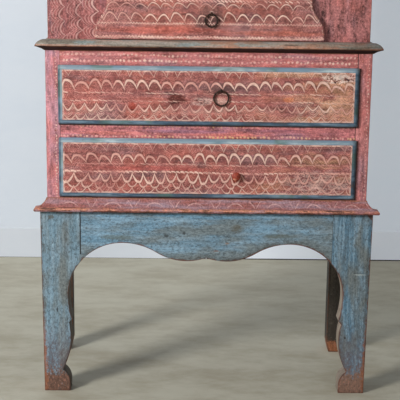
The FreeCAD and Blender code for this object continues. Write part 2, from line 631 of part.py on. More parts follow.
def build_cupboard():
    """Face frame, sides, boards and back of the cupboard."""
    rails = {
        "cupboard_rail_middle": (SMALL_FLOOR + SMALL_OPENING, DOOR_FLOOR),
        "cupboard_rail_top": (DOOR_HEAD, CUPBOARD_TOP),
    }
    stile, made, pegs = face_frame(CUPBOARD_HALF, CUPBOARD_CLEAR, CUPBOARD_FRONT, LEDGE_TOP, CUPBOARD_TOP,
                                   rails)
    put("cupboard_stile_right", stile)
    put("cupboard_stile_left", mirrored(stile))
    for name, rail in made.items():
        put(name, rail)
    inner = CUPBOARD_HALF - SIDE_THICKNESS
    start = CUPBOARD_FRONT + FRAME_THICKNESS
    end = BACK_Y - BACK_THICKNESS
    floor = block(-inner - HOUSING_DEPTH, inner + HOUSING_DEPTH, start, end,
                  DOOR_FLOOR - BOTTOM_THICKNESS, DOOR_FLOOR)
    side = case_side(CUPBOARD_HALF, CUPBOARD_FRONT, LEDGE_TOP, CUPBOARD_TOP).cut(floor).Solids[0]
    put("cupboard_side_right", side)
    put("cupboard_side_left", mirrored(side))
    put("cupboard_floor", floor)
    wide = block(-inner, inner, start, end, LEDGE_TOP, SMALL_FLOOR)
    tongue = block(-CUPBOARD_CLEAR, CUPBOARD_CLEAR, CUPBOARD_FRONT, start, LEDGE_TOP, SMALL_FLOOR)
    put("cupboard_bottom", joined(wide, tongue))
    put("cupboard_top", block(-CUPBOARD_HALF, CUPBOARD_HALF, CUPBOARD_FRONT, BACK_Y,
                              CUPBOARD_TOP, FULL_HEIGHT))
    put("cupboard_back_boards", *back_boards(inner + BACK_REBATE, LEDGE_TOP, CUPBOARD_TOP))
    shelf_z = DOOR_FLOOR + DOOR_OPENING / 2
    shelf_start = start + SHELF_SETBACK
    put("cupboard_shelf", block(-inner, inner, shelf_start, end, shelf_z, shelf_z + SHELF_THICKNESS))
    cleat = block(inner - CLEAT_SIZE, inner, shelf_start, end, shelf_z - CLEAT_SIZE, shelf_z)
    put("cupboard_shelf_cleats", cleat, mirrored(cleat))
    small_head = SMALL_FLOOR + SMALL_OPENING
    guide = block(CUPBOARD_CLEAR, CUPBOARD_CLEAR + CLEAT_SIZE, start, end,
                  SMALL_FLOOR, SMALL_FLOOR + GUIDE_HEIGHT)
    kicker = block(CUPBOARD_CLEAR - CLEAT_SIZE, CUPBOARD_CLEAR + CLEAT_SIZE, start, end,
                   small_head, DOOR_FLOOR - BOTTOM_THICKNESS)
    put("small_drawer_guides", guide, kicker, mirrored(guide), mirrored(kicker))
    return pegs


# Drawers

def lipped_board(half_width, z0, z1, front, overlap, clearance, inner_block):
    """A board with a beaded lip that covers its opening's edge and a block that fits inside the opening.

    z0 and z1 bound the opening, half_width is half its width and front is the face of the frame."""
    face = front - LIP_PROUD
    back = front - LIP_GAP
    bead_foot = face + LIP_PROUD - LIP_EDGE
    across = LIP_BEAD_WIDTH * (1 - math.sqrt(0.5))
    middle = face + (bead_foot - face) * (1 - math.sqrt(0.5))
    right, top, foot = half_width + overlap, z1 + overlap, z0 - overlap
    plan = Outline(top_view(foot), (-right, back))
    plan.line((right, back), (right, bead_foot))
    plan.arc((right - across, middle), (right - LIP_BEAD_WIDTH, face))
    plan.line((-right + LIP_BEAD_WIDTH, face))
    plan.arc((-right + across, middle), (-right, bead_foot))
    rise = Outline(side_view(-right), (back, foot))
    rise.line((back, top), (bead_foot, top))
    rise.arc((middle, top - across), (face, top - LIP_BEAD_WIDTH))
    rise.line((face, foot + LIP_BEAD_WIDTH))
    rise.arc((middle, foot + across), (bead_foot, foot))
    lip = plan.solid((0, 0, top - foot)).common(rise.solid((2 * right, 0, 0)))
    fit = half_width - clearance
    inside = block(-fit, fit, back, back + inner_block, z0 + DRAWER_RUN_GAP, z1 - DRAWER_TOP_CLEARANCE)
    return joined(lip.Solids[0], inside)


def dovetails(x0, x1, root, z0, z1, length):
    """A row of tails on the end of a drawer side, widening away from root; length is signed along Y."""
    count = max(2, round((z1 - z0) / TAIL_PITCH))
    pitch = (z1 - z0) / count
    tails = []
    for i in range(count):
        middle = z0 + (i + 0.5) * pitch
        narrow = TAIL_ROOT_SHARE * pitch
        wide = TAIL_TIP_SHARE * pitch
        tail = Outline(side_view(x0), (root, middle - narrow))
        tail.line((root + length, middle - wide), (root + length, middle + wide), (root, middle + narrow))
        tails.append(tail.solid((x1 - x0, 0, 0)))
    return tails


def drawer_box(half_width, z0, z1, front_back, end):
    """Sides, back and bottom of a dovetailed drawer behind its front; gives them with the front's sockets.

    front_back is the back of the front's block, and end is the back of the drawer."""
    outer = half_width
    inner = outer - DRAWER_SIDE_THICKNESS
    bottom_low = z0 + DRAWER_BOTTOM_UP
    bottom_top = bottom_low + DRAWER_BOTTOM_THICKNESS
    back_root = end - DRAWER_BACK_THICKNESS
    front_tails = dovetails(inner, outer, front_back, z0, z1, -TAIL_LENGTH)
    back_tails = dovetails(inner, outer, back_root, bottom_top, z1, DRAWER_BACK_THICKNESS)
    side = joined(block(inner, outer, front_back, back_root, z0, z1),
                  block(inner, outer, back_root, end, z0, bottom_top), *front_tails, *back_tails)
    panel = block(-inner - DRAWER_GROOVE, inner + DRAWER_GROOVE, front_back, end, bottom_low, bottom_top)
    tongue = block(-inner, inner, front_back - DRAWER_GROOVE, front_back, bottom_low, bottom_top)
    bottom = joined(panel, tongue)
    side = side.cut(bottom).Solids[0]
    tails = Part.makeCompound(front_tails + back_tails)
    back = block(-outer, outer, back_root, end, bottom_top, z1).cut(tails).cut(mirrored(tails)).Solids[0]
    sockets = Part.makeCompound([tails, mirrored(tails), tongue])
    return {"sides": (side, mirrored(side)), "back": back, "bottom": bottom, "sockets": sockets}


def ring(axis, radius, wire):
    """A forged ring that hangs from axis, the point where its wire passes through the eye."""
    out, up = Vector(0, 1, 0), Vector(0, 0, 1)
    centre = Vector(axis[0], axis[1], axis[2] - radius)
    return many_sided(FORGED_SIDES, centre + up * radius, out, up, wire).revolve(centre, out, 360)


def eye_stand_off(wire):
    """From the wood to the middle of an eye that takes a ring of this wire."""
    return wire + EYE_PLAY + 2 * EYE_WIRE - EYE_SINK


def ring_axis(x, face, z, wire):
    """Where a ring's wire lies in its eye: on the lowest part of the eye's hole."""
    return x, face - eye_stand_off(wire), z - (EYE_PLAY - RUNNING_CLEARANCE)


def ring_eye(x, face, back, z, wire):
    """A split pin: its eye stands out of the face, and its legs go through and are clinched behind."""
    loop_radius = wire + EYE_PLAY + EYE_WIRE
    out = face - eye_stand_off(wire)
    across, up = Vector(1, 0, 0), Vector(0, 0, 1)
    centre = Vector(x, out, z)
    section = many_sided(FORGED_SIDES, centre + up * loop_radius, across, up, EYE_WIRE)
    loop = section.revolve(centre, across, 360)
    shank = faceted_rod(FORGED_SIDES, EYE_SHANK_RADIUS, (x, out + loop_radius, z),
                        (x, back + EYE_CLINCH_THICKNESS, z))
    clinch = block(x - EYE_CLINCH_WIDTH / 2, x + EYE_CLINCH_WIDTH / 2, back, back + EYE_CLINCH_THICKNESS,
                   z - EYE_CLINCH_LENGTH, z + EYE_CLINCH_LENGTH)
    return joined(loop, shank, clinch)


def eye_hole(x, face, back, z):
    """Hole for a split pin's shank."""
    return faceted_rod(FORGED_SIDES, EYE_SHANK_RADIUS + FIT_CLEARANCE, (x, face - CUT_MARGIN, z),
                       (x, back + CUT_MARGIN, z))


def knob(x, face, back, z):
    """A turned knob with a domed head, a rim, a neck and a shank through the drawer front."""
    turned = Outline(lambda r, out: Vector(x + r, face - out, z), (0, KNOB_LENGTH))
    turned.arc_leaving((1, 0), (KNOB_RADIUS, KNOB_RIM_FRONT))
    turned.line((KNOB_RADIUS, KNOB_RIM_BACK), (KNOB_NECK_RADIUS, KNOB_NECK_LENGTH))
    turned.line((KNOB_NECK_RADIUS, 0), (KNOB_SHANK_RADIUS, 0), (KNOB_SHANK_RADIUS, face - back))
    turned.line((0, face - back), (0, KNOB_LENGTH))
    return Part.Face(Part.Wire(turned.edges)).revolve(Vector(x, face, z), Vector(0, 1, 0), 360)


def build_chest_drawers():
    """Two lipped and dovetailed drawers: the upper one with a ring pull, the lower one with a knob."""
    face = CHEST_FRONT - LIP_PROUD
    block_back = CHEST_FRONT - LIP_GAP + INNER_BLOCK
    end = BACK_Y - BACK_THICKNESS - DRAWER_BACK_GAP
    half = CHEST_CLEAR - DRAWER_SIDE_CLEARANCE
    for name, floor, height in (("upper", UPPER_FLOOR, UPPER_OPENING), ("lower", LOWER_FLOOR, LOWER_OPENING)):
        head = floor + height
        front = lipped_board(CHEST_CLEAR, floor, head, CHEST_FRONT, LIP_OVERLAP, DRAWER_SIDE_CLEARANCE,
                             INNER_BLOCK)
        box = drawer_box(half, floor + DRAWER_RUN_GAP, head - DRAWER_TOP_CLEARANCE, block_back, end)
        front = front.cut(box["sockets"])
        middle = floor + height / 2
        if name == "upper":
            eye_z = middle + UPPER_RING_ABOVE
            front = front.cut(eye_hole(UPPER_RING_OFFSET, face, block_back, eye_z))
            put("upper_drawer_ring_eye", ring_eye(UPPER_RING_OFFSET, face, block_back, eye_z, RING_WIRE))
            axis = ring_axis(UPPER_RING_OFFSET, face, eye_z, RING_WIRE)
            put("upper_drawer_ring", ring(axis, RING_RADIUS, RING_WIRE))
        else:
            knob_z = middle - KNOB_BELOW
            front = front.cut(rod(KNOB_SHANK_RADIUS + FIT_CLEARANCE, (KNOB_OFFSET, face - CUT_MARGIN, knob_z),
                                  (KNOB_OFFSET, block_back + CUT_MARGIN, knob_z)))
            put("lower_drawer_knob", knob(KNOB_OFFSET, face, block_back, knob_z))
        put(f"{name}_drawer_front", front.Solids[0])
        put(f"{name}_drawer_sides", *box["sides"])
        put(f"{name}_drawer_back", box["back"])
        put(f"{name}_drawer_bottom", box["bottom"])


def build_small_drawer():
    """Drawer under the cupboard: a dovetailed box with an applied face that bends in towards its top."""
    face = CUPBOARD_FRONT - SHAPED_FACE_PROUD
    face_back = CUPBOARD_FRONT - LIP_GAP
    foot = LEDGE_TOP + SHAPED_FACE_CLEARANCE
    head = SMALL_FLOOR + SMALL_OPENING + SHAPED_FACE_COVER
    head_half = CUPBOARD_CLEAR + DOOR_OVERLAP
    foot_half = head_half + SHAPED_FACE_FLARE
    up = (0, 1)
    shaped = Outline(front_view(face), (-foot_half, foot))
    shaped.line((foot_half, foot), (foot_half, foot + SHAPED_FACE_PLUMB))
    shaped.s_bend(up, (head_half, head - SHAPED_FACE_PLUMB_TOP))
    shaped.line((head_half, head), (-head_half, head), (-head_half, head - SHAPED_FACE_PLUMB_TOP))
    shaped.s_bend((0, -1), (-foot_half, foot + SHAPED_FACE_PLUMB))
    board = shaped.solid((0, face_back - face, 0))

    half = CUPBOARD_CLEAR - DRAWER_SIDE_CLEARANCE
    low = SMALL_FLOOR + DRAWER_RUN_GAP
    high = SMALL_FLOOR + SMALL_OPENING - DRAWER_TOP_CLEARANCE
    block_back = face_back + INNER_BLOCK
    box = drawer_box(half, low, high, block_back, BACK_Y - BACK_THICKNESS - DRAWER_BACK_GAP)
    sub_front = block(-half, half, face_back, block_back, low, high).cut(box["sockets"])
    eye_z = (foot + head) / 2 + SMALL_RING_ABOVE
    hole = eye_hole(SMALL_RING_OFFSET, face, block_back, eye_z)
    put("small_drawer_face", board.cut(hole).Solids[0])
    put("small_drawer_walls", sub_front.cut(hole).Solids[0], *box["sides"], box["back"])
    put("small_drawer_bottom", box["bottom"])
    put("small_drawer_ring_eye", ring_eye(SMALL_RING_OFFSET, face, block_back, eye_z, SMALL_RING_WIRE))
    put("small_drawer_ring", ring(ring_axis(SMALL_RING_OFFSET, face, eye_z, SMALL_RING_WIRE),
                                  SMALL_RING_RADIUS, SMALL_RING_WIRE))


# Door

DOOR_HALF = CUPBOARD_CLEAR + DOOR_OVERLAP
DOOR_FACE = CUPBOARD_FRONT - LIP_PROUD
DOOR_BACK = CUPBOARD_FRONT - LIP_GAP + DOOR_INNER_BLOCK
DOOR_FOOT = DOOR_FLOOR - DOOR_OVERLAP
DOOR_TOP = DOOR_HEAD + DOOR_OVERLAP
PANEL_X = DOOR_HALF - DOOR_STILE_WIDTH
PANEL_FOOT = DOOR_FOOT + DOOR_BOTTOM_RAIL
PANEL_TOP = DOOR_TOP - DOOR_TOP_RAIL
HINGE_X = -DOOR_HALF - HINGE_BARREL - HINGE_EDGE_CLEARANCE
HINGE_Y = CUPBOARD_FRONT - LIP_PROUD / 2


def door_panel():
    """Raised panel: a flat field, a bevel on all four sides, and a tongue that sits loose in the frame."""
    reach = PANEL_GROOVE_DEPTH - PANEL_SIDE_CLEARANCE
    right, top, foot = PANEL_X + reach, PANEL_TOP + reach, PANEL_FOOT - reach
    field = DOOR_FACE + PANEL_FACE_RECESS
    tongue = DOOR_FACE + PANEL_TONGUE_BACK
    back = tongue + PANEL_TONGUE
    step = reach + PANEL_FILLET
    plan = Outline(top_view(foot), (-right, back))
    plan.line((right, back), (right, tongue), (right - step, tongue), (right - PANEL_BEVEL_WIDTH, field),
              (-right + PANEL_BEVEL_WIDTH, field), (-right + step, tongue), (-right, tongue))
    rise = Outline(side_view(-right), (back, foot))
    rise.line((back, top), (tongue, top), (tongue, top - step), (field, top - PANEL_BEVEL_WIDTH),
              (field, foot + PANEL_BEVEL_WIDTH), (tongue, foot + step), (tongue, foot))
    return plan.solid((0, 0, top - foot)).common(rise.solid((2 * right, 0, 0))).Solids[0]


def hinge_pair(z):
    """One lift-off hinge: the case leaf with its pin, and the door leaf whose eye drops over it."""
    middle = z + HINGE_HEIGHT / 2
    face = CUPBOARD_FRONT
    plate = block(HINGE_X - HINGE_LEAF, HINGE_X, face - HINGE_PLATE, face, z, z + HINGE_HEIGHT)
    web = block(HINGE_X - HINGE_BARREL, HINGE_X, HINGE_Y, face, z, middle)
    barrel = rod(HINGE_BARREL, (HINGE_X, HINGE_Y, z), (HINGE_X, HINGE_Y, middle))
    bore_end = z + HINGE_HEIGHT - HINGE_PIN_CAP
    pin = rod(HINGE_PIN, (HINGE_X, HINGE_Y, middle), (HINGE_X, HINGE_Y, bore_end - HINGE_PIN_PLAY))
    seat = middle + RUNNING_CLEARANCE
    leaf = block(HINGE_X, HINGE_X + HINGE_LEAF, DOOR_FACE - HINGE_PLATE, DOOR_FACE, z, z + HINGE_HEIGHT)
    arm = block(HINGE_X, HINGE_X + HINGE_BARREL, DOOR_FACE - HINGE_PLATE, HINGE_Y, seat, z + HINGE_HEIGHT)
    eye = rod(HINGE_BARREL, (HINGE_X, HINGE_Y, seat), (HINGE_X, HINGE_Y, z + HINGE_HEIGHT))
    bore = rod(HINGE_PIN + FIT_CLEARANCE, (HINGE_X, HINGE_Y, z), (HINGE_X, HINGE_Y, bore_end))
    eye_way = rod(HINGE_BARREL + RUNNING_CLEARANCE, (HINGE_X, HINGE_Y, middle),
                  (HINGE_X, HINGE_Y, z + HINGE_HEIGHT))
    case_leaf = joined(plate.cut(eye_way).Solids[0], web, barrel, pin)
    door_leaf = joined(leaf, arm, eye).cut(bore).Solids[0]
    return case_leaf, door_leaf


def build_door():
    """Framed and panelled door with a beaded lip, two lift-off hinges and a ring pull."""
    slab = lipped_board(CUPBOARD_CLEAR, DOOR_FLOOR, DOOR_HEAD, CUPBOARD_FRONT, DOOR_OVERLAP,
                        DRAWER_SIDE_CLEARANCE, DOOR_INNER_BLOCK)
    groove = block(-PANEL_X - PANEL_GROOVE_DEPTH, PANEL_X + PANEL_GROOVE_DEPTH, DOOR_FACE + PANEL_TONGUE_BACK,
                   DOOR_FACE + PANEL_TONGUE_BACK + PANEL_TONGUE, PANEL_FOOT - PANEL_GROOVE_DEPTH,
                   PANEL_TOP + PANEL_GROOVE_DEPTH)
    middle = (DOOR_FACE + DOOR_BACK) / 2
    edge = block(PANEL_X, DOOR_HALF, DOOR_FACE, DOOR_BACK, DOOR_FOOT, DOOR_TOP)
    stile = slab.common(edge).cut(groove)
    other_stile = slab.common(mirrored(edge)).cut(groove)
    rails = []
    for low, high in ((DOOR_FOOT, PANEL_FOOT), (PANEL_TOP, DOOR_TOP)):
        ends = tenons(PANEL_X, DOOR_TENON_LENGTH, middle, FRAME_TENON_THICKNESS,
                      low + DOOR_TENON_SHOULDER, high - DOOR_TENON_SHOULDER)
        rail = slab.common(block(-PANEL_X, PANEL_X, DOOR_FACE, DOOR_BACK, low, high)).cut(groove)
        rails.append(joined(rail.Solids[0], *ends))
        stile = stile.cut(ends[0])
        other_stile = other_stile.cut(ends[1])
    ring_x = PANEL_X + DOOR_STILE_WIDTH / 2
    eye_z = (DOOR_FOOT + DOOR_TOP) / 2 + DOOR_RING_ABOVE
    stile = stile.cut(eye_hole(ring_x, DOOR_FACE, DOOR_BACK, eye_z))
    put("door_stiles", stile.Solids[0], other_stile.Solids[0])
    put("door_rails", *rails)
    put("door_panel", door_panel())
    put("door_ring_eye", ring_eye(ring_x, DOOR_FACE, DOOR_BACK, eye_z, SMALL_RING_WIRE))
    axis = ring_axis(ring_x, DOOR_FACE, eye_z, SMALL_RING_WIRE)
    put("door_ring", ring(axis, SMALL_RING_RADIUS, SMALL_RING_WIRE))
    leaves = [hinge_pair(z) for z in (DOOR_FOOT + HINGE_INSET, DOOR_TOP - HINGE_INSET - HINGE_HEIGHT)]
    put("door_hinge_case_leaves", *[pair[0] for pair in leaves])
    put("door_hinge_door_leaves", *[pair[1] for pair in leaves])


def main():
    """Builds every piece and writes one file for each."""
    build_stand()
    build_mouldings()
    pegs = build_chest() + build_cupboard()
    put("frame_pegs", *pegs, *[mirrored(peg) for peg in pegs])
    build_chest_drawers()
    build_small_drawer()
    build_door()
    os.makedirs("parts", exist_ok=True)
    for name, solids in pieces.items():
        for solid in solids:
            if not solid.isValid() or solid.Volume <= 0:
                print(f"{name}: a solid is not valid")
        whole = solids[0] if len(solids) == 1 else Part.makeCompound(solids)
        whole.exportStep(f"parts/{name}.step")
    print(f"{len(pieces)} pieces; {2 * (CHEST_HALF + BASE_PROJECTION):.0f} wide, {TOTAL_DEPTH:.0f} deep, "
          f"{FULL_HEIGHT:.0f} high")


main()
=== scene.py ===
"""Looks of a painted folk cabinet on stand: worn boards, hand-drawn paint, ironwork and a plain studio."""
import json
import logging
import math
from dataclasses import dataclass, field
from enum import Enum
from functools import partial, reduce
from itertools import product
from typing import Callable, ClassVar, Optional, Union, get_type_hints

import bmesh
import bpy
from mathutils import Matrix, Vector
from mathutils.kdtree import KDTree

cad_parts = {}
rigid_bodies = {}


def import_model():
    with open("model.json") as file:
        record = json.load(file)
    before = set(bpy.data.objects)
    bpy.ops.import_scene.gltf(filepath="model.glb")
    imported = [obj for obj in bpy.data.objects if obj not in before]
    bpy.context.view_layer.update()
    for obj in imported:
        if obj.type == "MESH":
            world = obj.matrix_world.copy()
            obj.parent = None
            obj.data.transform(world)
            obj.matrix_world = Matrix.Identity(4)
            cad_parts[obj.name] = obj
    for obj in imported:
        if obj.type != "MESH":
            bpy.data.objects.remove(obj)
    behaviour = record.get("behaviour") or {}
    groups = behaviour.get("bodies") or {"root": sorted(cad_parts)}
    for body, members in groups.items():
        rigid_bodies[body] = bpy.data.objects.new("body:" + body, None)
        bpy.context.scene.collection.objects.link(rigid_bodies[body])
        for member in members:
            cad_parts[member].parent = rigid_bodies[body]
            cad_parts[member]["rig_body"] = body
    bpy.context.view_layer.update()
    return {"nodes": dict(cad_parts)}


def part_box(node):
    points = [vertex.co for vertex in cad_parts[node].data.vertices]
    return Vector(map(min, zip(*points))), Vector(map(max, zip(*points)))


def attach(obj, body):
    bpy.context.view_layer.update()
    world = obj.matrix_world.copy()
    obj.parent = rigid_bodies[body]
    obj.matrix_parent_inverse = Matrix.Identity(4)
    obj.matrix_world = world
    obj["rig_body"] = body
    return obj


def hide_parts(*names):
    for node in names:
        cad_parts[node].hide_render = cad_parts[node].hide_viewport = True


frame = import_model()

LOG = logging.getLogger("cabinet")
MM = 0.001
EDGE_LAYER = "edge_near"
EDGE_REACH = 40.0              # mm over which an edge is felt in the paint
MERGE_DISTANCE = 1e-5
Colour = tuple[float, float, float, float]


def tone(red: float, green: float, blue: float) -> Colour:
    """Turns a colour as seen on a screen, 0 to 255, into the linear one a shader takes.

    Args:
        red: Red part.
        green: Green part.
        blue: Blue part.

    Returns:
        Linear red, green, blue and a full alpha.
    """
    def linear(value: float) -> float:
        """Undoes the screen's curve for one part of the colour."""
        share = value / 255
        return share / 12.92 if share <= 0.04045 else ((share + 0.055) / 1.055) ** 2.4
    return linear(red), linear(green), linear(blue), 1.0


def arithmetic(operation: str, swapped: bool = False) -> Callable[..., "Signal"]:
    """Makes a method of a signal that adds one math node.

    Args:
        operation: The node's operation.
        swapped: Whether the signal comes after the other value.

    Returns:
        The method.
    """
    def method(self: "Signal", *others: "Value") -> "Signal":
        """Joins the signal and the other value by the operation."""
        return self.graph.math(operation, *((*others, self) if swapped else (self, *others)))
    return method


class Signal:
    """A value that changes over a surface, used in ordinary arithmetic."""

    __add__, __radd__ = arithmetic("ADD"), arithmetic("ADD", swapped=True)
    __sub__, __rsub__ = arithmetic("SUBTRACT"), arithmetic("SUBTRACT", swapped=True)
    __mul__, __rmul__ = arithmetic("MULTIPLY"), arithmetic("MULTIPLY", swapped=True)
    __truediv__, __pow__, __abs__ = arithmetic("DIVIDE"), arithmetic("POWER"), arithmetic("ABSOLUTE")
    above, most, least = arithmetic("GREATER_THAN"), arithmetic("MAXIMUM"), arithmetic("MINIMUM")

    def __init__(self, graph: "Graph", socket: bpy.types.NodeSocket) -> None:
        """Keeps the graph and the socket that carries the value."""
        self.graph, self.socket = graph, socket

    def fall(self, full: "Value", none: "Value") -> "Signal":
        """One where this is at full, fading to nought where it is at none."""
        return self.graph.fade(self, full, none)


Value = Union[float, tuple, Signal]


class Graph:
    """Adds shader nodes to one node tree with short calls."""

    def __init__(self, tree: bpy.types.NodeTree) -> None:
        """Keeps the tree that the nodes go into."""
        self.tree = tree

    def stand_on(self, place: Signal) -> None:
        """Sets the place on the surface, in millimetres, that patterns are drawn at."""
        self.place = place
        self.x, self.y, self.z = self.split(place)

    def feed(self, socket: bpy.types.NodeSocket, value: Value) -> None:
        """Links a signal to a socket, or sets the socket to a plain value.

        Args:
            socket: The socket.
            value: The signal or the value.
        """
        if isinstance(value, Signal):
            self.tree.links.new(value.socket, socket)
        else:
            socket.default_value = value

    def node(self, kind: str, inputs: Optional[dict] = None, **settings: object) -> bpy.types.Node:
        """Adds a node.

        Args:
            kind: Node type.
            inputs: Values or signals by socket name or number.
            **settings: Properties of the node.

        Returns:
            The node.
        """
        made = self.tree.nodes.new(kind)
        for name, setting in settings.items():
            setattr(made, name, setting)
        for key, value in (inputs or {}).items():
            self.feed(made.inputs[key], value)
        return made

    def math(self, operation: str, *values: Value) -> Signal:
        """A sum of one or two values by the named operation."""
        made = self.node("ShaderNodeMath", dict(enumerate(values)), operation=operation)
        return Signal(self, made.outputs[0])

    def fade(self, value: Value, full: Value, none: Value) -> Signal:
        """A smooth mask.

        Args:
            value: What is tested.
            full: Where the mask is one.
            none: Where the mask is nought.

        Returns:
            The mask.
        """
        made = self.node("ShaderNodeMapRange", {"Value": value, "From Min": none, "From Max": full},
                         interpolation_type="SMOOTHSTEP")
        return Signal(self, made.outputs["Result"])

    def split(self, vector: Signal) -> tuple[Signal, Signal, Signal]:
        """The three parts of a vector."""
        made = self.node("ShaderNodeSeparateXYZ", {0: vector})
        return tuple(Signal(self, out) for out in made.outputs)

    def vector(self, x: Value, y: Value, z: Value) -> Signal:
        """A vector of three values."""
        return Signal(self, self.node("ShaderNodeCombineXYZ", {0: x, 1: y, 2: z}).outputs[0])

    def stretch(self, factors: tuple[float, float, float], vector: Optional[Signal] = None) -> Signal:
        """The place, or another vector, with each part multiplied by its own factor."""
        made = self.node("ShaderNodeVectorMath", {0: vector or self.place, 1: factors}, operation="MULTIPLY")
        return Signal(self, made.outputs[0])

    def along(self, grain: "Grain") -> Signal:
        """The place with the grain's way as its third part."""
        parts = (self.x, self.y, self.z)
        return self.vector(*(parts[index] for index in grain.value))

    def edge_distance(self) -> Signal:
        """Distance from the nearest worn edge in millimetres, as far as an edge is felt."""
        near = self.node("ShaderNodeAttribute", attribute_name=EDGE_LAYER).outputs["Fac"]
        return (1.0 - Signal(self, near)) * EDGE_REACH

    def noise(self, size: float, detail: float = 2.0, rough: float = 0.55,
              place: Optional[Signal] = None) -> Signal:
        """Soft random variation.

        Args:
            size: Width of its largest patches in millimetres.
            detail: How many finer layers lie on it.
            rough: How strong the finer layers are.
            place: Where it is drawn, if not at the graph's place.

        Returns:
            A value from nought to one, about a half.
        """
        made = self.node("ShaderNodeTexNoise", {"Vector": place or self.place, "Scale": 1.0 / size,
                                                "Detail": detail, "Roughness": rough})
        return Signal(self, made.outputs["Fac"])

    def streaks(self, along: Signal, length: float, size: float, detail: float = 2.0,
                rough: float = 0.55) -> Signal:
        """Noise drawn out along the grain, which is the third part of its place."""
        return self.noise(size, detail, rough, self.stretch((1.0, 1.0, length), along))

    def chance(self, value: Value) -> tuple[Signal, Signal, Signal]:
        """Three random numbers for each value."""
        made = self.node("ShaderNodeTexWhiteNoise", {"W": value}, noise_dimensions="1D")
        return self.split(Signal(self, made.outputs["Color"]))

    def mix(self, base: Value, *layers: tuple[Value, Value]) -> Value:
        """Lays colours over a base, one after another.

        Args:
            base: The lowest colour.
            *layers: Each colour with its mask.

        Returns:
            The colour that shows.
        """
        for over, mask in layers:
            made = self.node("ShaderNodeMix", {0: mask, 6: base, 7: over}, data_type="RGBA")
            base = Signal(self, made.outputs[2])
        return base

    def shade(self, base: Value, value: Value) -> Signal:
        """Multiplies a colour by a value."""
        made = self.node("ShaderNodeVectorMath", {0: base, "Scale": value}, operation="SCALE")
        return Signal(self, made.outputs[0])

    def effect(self, kind: type["Effect"], **values: Value) -> dict[str, Signal]:
        """Places an effect's group.

        Args:
            kind: The effect.
            **values: Its inputs by name; its place is the graph's if none is given.

        Returns:
            Its outputs by name.
        """
        if kind.placed:
            values.setdefault("place", self.place)
        made = self.node("ShaderNodeGroup", values, node_tree=kind.tree())
        return {out.name: Signal(self, out) for out in made.outputs}


class Effect:
    """Base of the shader node groups, each built once and placed wherever it is needed.

    A group's inputs are the place, if it is placed, and the signals that its draw method takes.
    """

    placed: ClassVar[bool] = True

    @classmethod
    def inputs(cls) -> list[str]:
        """The names of the group's inputs."""
        signals = [name for name, kind in get_type_hints(cls.draw).items() if kind is Signal]
        return ["place"] * cls.placed + signals

    @classmethod
    def tree(cls) -> bpy.types.NodeTree:
        """Makes the group the first time it is asked for.

        Returns:
            The group.
        """
        found = bpy.data.node_groups.get(cls.__name__)
        if found:
            return found
        tree = bpy.data.node_groups.new(cls.__name__, "ShaderNodeTree")
        for name in cls.inputs():
            kind = "NodeSocketVector" if name == "place" else "NodeSocketFloat"
            tree.interface.new_socket(name, in_out="INPUT", socket_type=kind)
        graph = Graph(tree)
        entry = graph.node("NodeGroupInput")
        given = {name: Signal(graph, entry.outputs[name]) for name in cls.inputs()}
        if cls.placed:
            graph.stand_on(given.pop("place"))
        drawn = cls.draw(graph, **given)
        for name in drawn:
            tree.interface.new_socket(name, in_out="OUTPUT", socket_type="NodeSocketFloat")
        graph.node("NodeGroupOutput", drawn)
        return tree

    @classmethod
    def draw(cls, graph: Graph, **given: Signal) -> dict[str, Signal]:
        """Builds the nodes and gives the outputs by name."""
        raise NotImplementedError


class ScallopRow(Effect):
    """A row of arcs drawn by hand, convex up, or hanging where the rise is below nought."""

    placed = False
    PEAK_STRAY = 0.2               # of an arc's width
    FOOT_STRAY = 4.0               # mm
    RISE_LEAST, RISE_SPREAD = 0.82, 0.36
    FOOT_STROKE, BOW_STROKE = 0.4, 0.75

    @classmethod
    def draw(cls, graph: Graph, across: Signal, up: Signal, at: Signal, rise: Signal, pitch: Signal,
             phase: Signal, stroke: Signal, peak: Signal, skew: Signal, spacing: Signal,
             echoes: Signal, power: Signal) -> dict[str, Signal]:
        """Draws each arc from its own random rise, lean and height.

        Args:
            graph: Where the nodes go.
            across: Place along the row in millimetres.
            up: Place across the row in millimetres.
            at: Height of the arcs' feet.
            rise: Height of an arc.
            pitch: Width of an arc.
            phase: Place of one foot.
            stroke: Half width of the line.
            peak: Where an arc is highest, as a share of its width.
            skew: How much higher an arc starts than it ends, as a share of its rise.
            spacing: Distance between the comb's fainter lines under the arcs.
            echoes: How many of those lines there are.
            power: How round an arc is: two for a bow, one for a plain point.

        Returns:
            The masks of the line, of the inside of the arcs, of the comb's lines and of the painted
            shade beside the line.
        """
        cell = (across - phase) / pitch
        place = graph.math("FRACT", cell)
        first, second, third = graph.chance(graph.math("FLOOR", cell) + at)
        top = peak + (first - 0.5) * cls.PEAK_STRAY
        falling = place.above(top)
        width = top + falling * (1.0 - top * 2.0)
        lean = abs(place - top) / width
        bow = 1.0 - lean ** power
        tall = rise * (second * cls.RISE_SPREAD + cls.RISE_LEAST)
        start = tall * skew * (1.0 - falling)
        gap = up - at - (third - 0.5) * cls.FOOT_STRAY - start - (tall - start) * bow
        slope = lean ** (power - 1.0) * (tall - start) * power / (width * pitch)
        distance = abs(gap) / graph.math("SQRT", slope * slope + 1.0)
        half = stroke * (bow * cls.BOW_STROKE + cls.FOOT_STROKE)
        side = graph.math("SIGN", rise)
        inside = (gap * side).fall(-1.5, 0.5) * ((up - at) * side).fall(1.0, -1.0)
        comb = gap / spacing * -1.0
        ridge = abs(graph.math("FRACT", comb) - 0.5).fall(0.5, 0.22)
        # furrow: a band just outside the line, painted shade beside the stroke
        return {"line": distance.fall(half * 0.5, half) * (first * 0.3 + 0.8).least(1.0), "inside": inside,
                "echo": ridge * comb.fall(0.6, 0.5) * comb.fall(echoes + 0.4, echoes + 0.6),
                "furrow": distance.fall(half * 1.3, half * 2.4)}


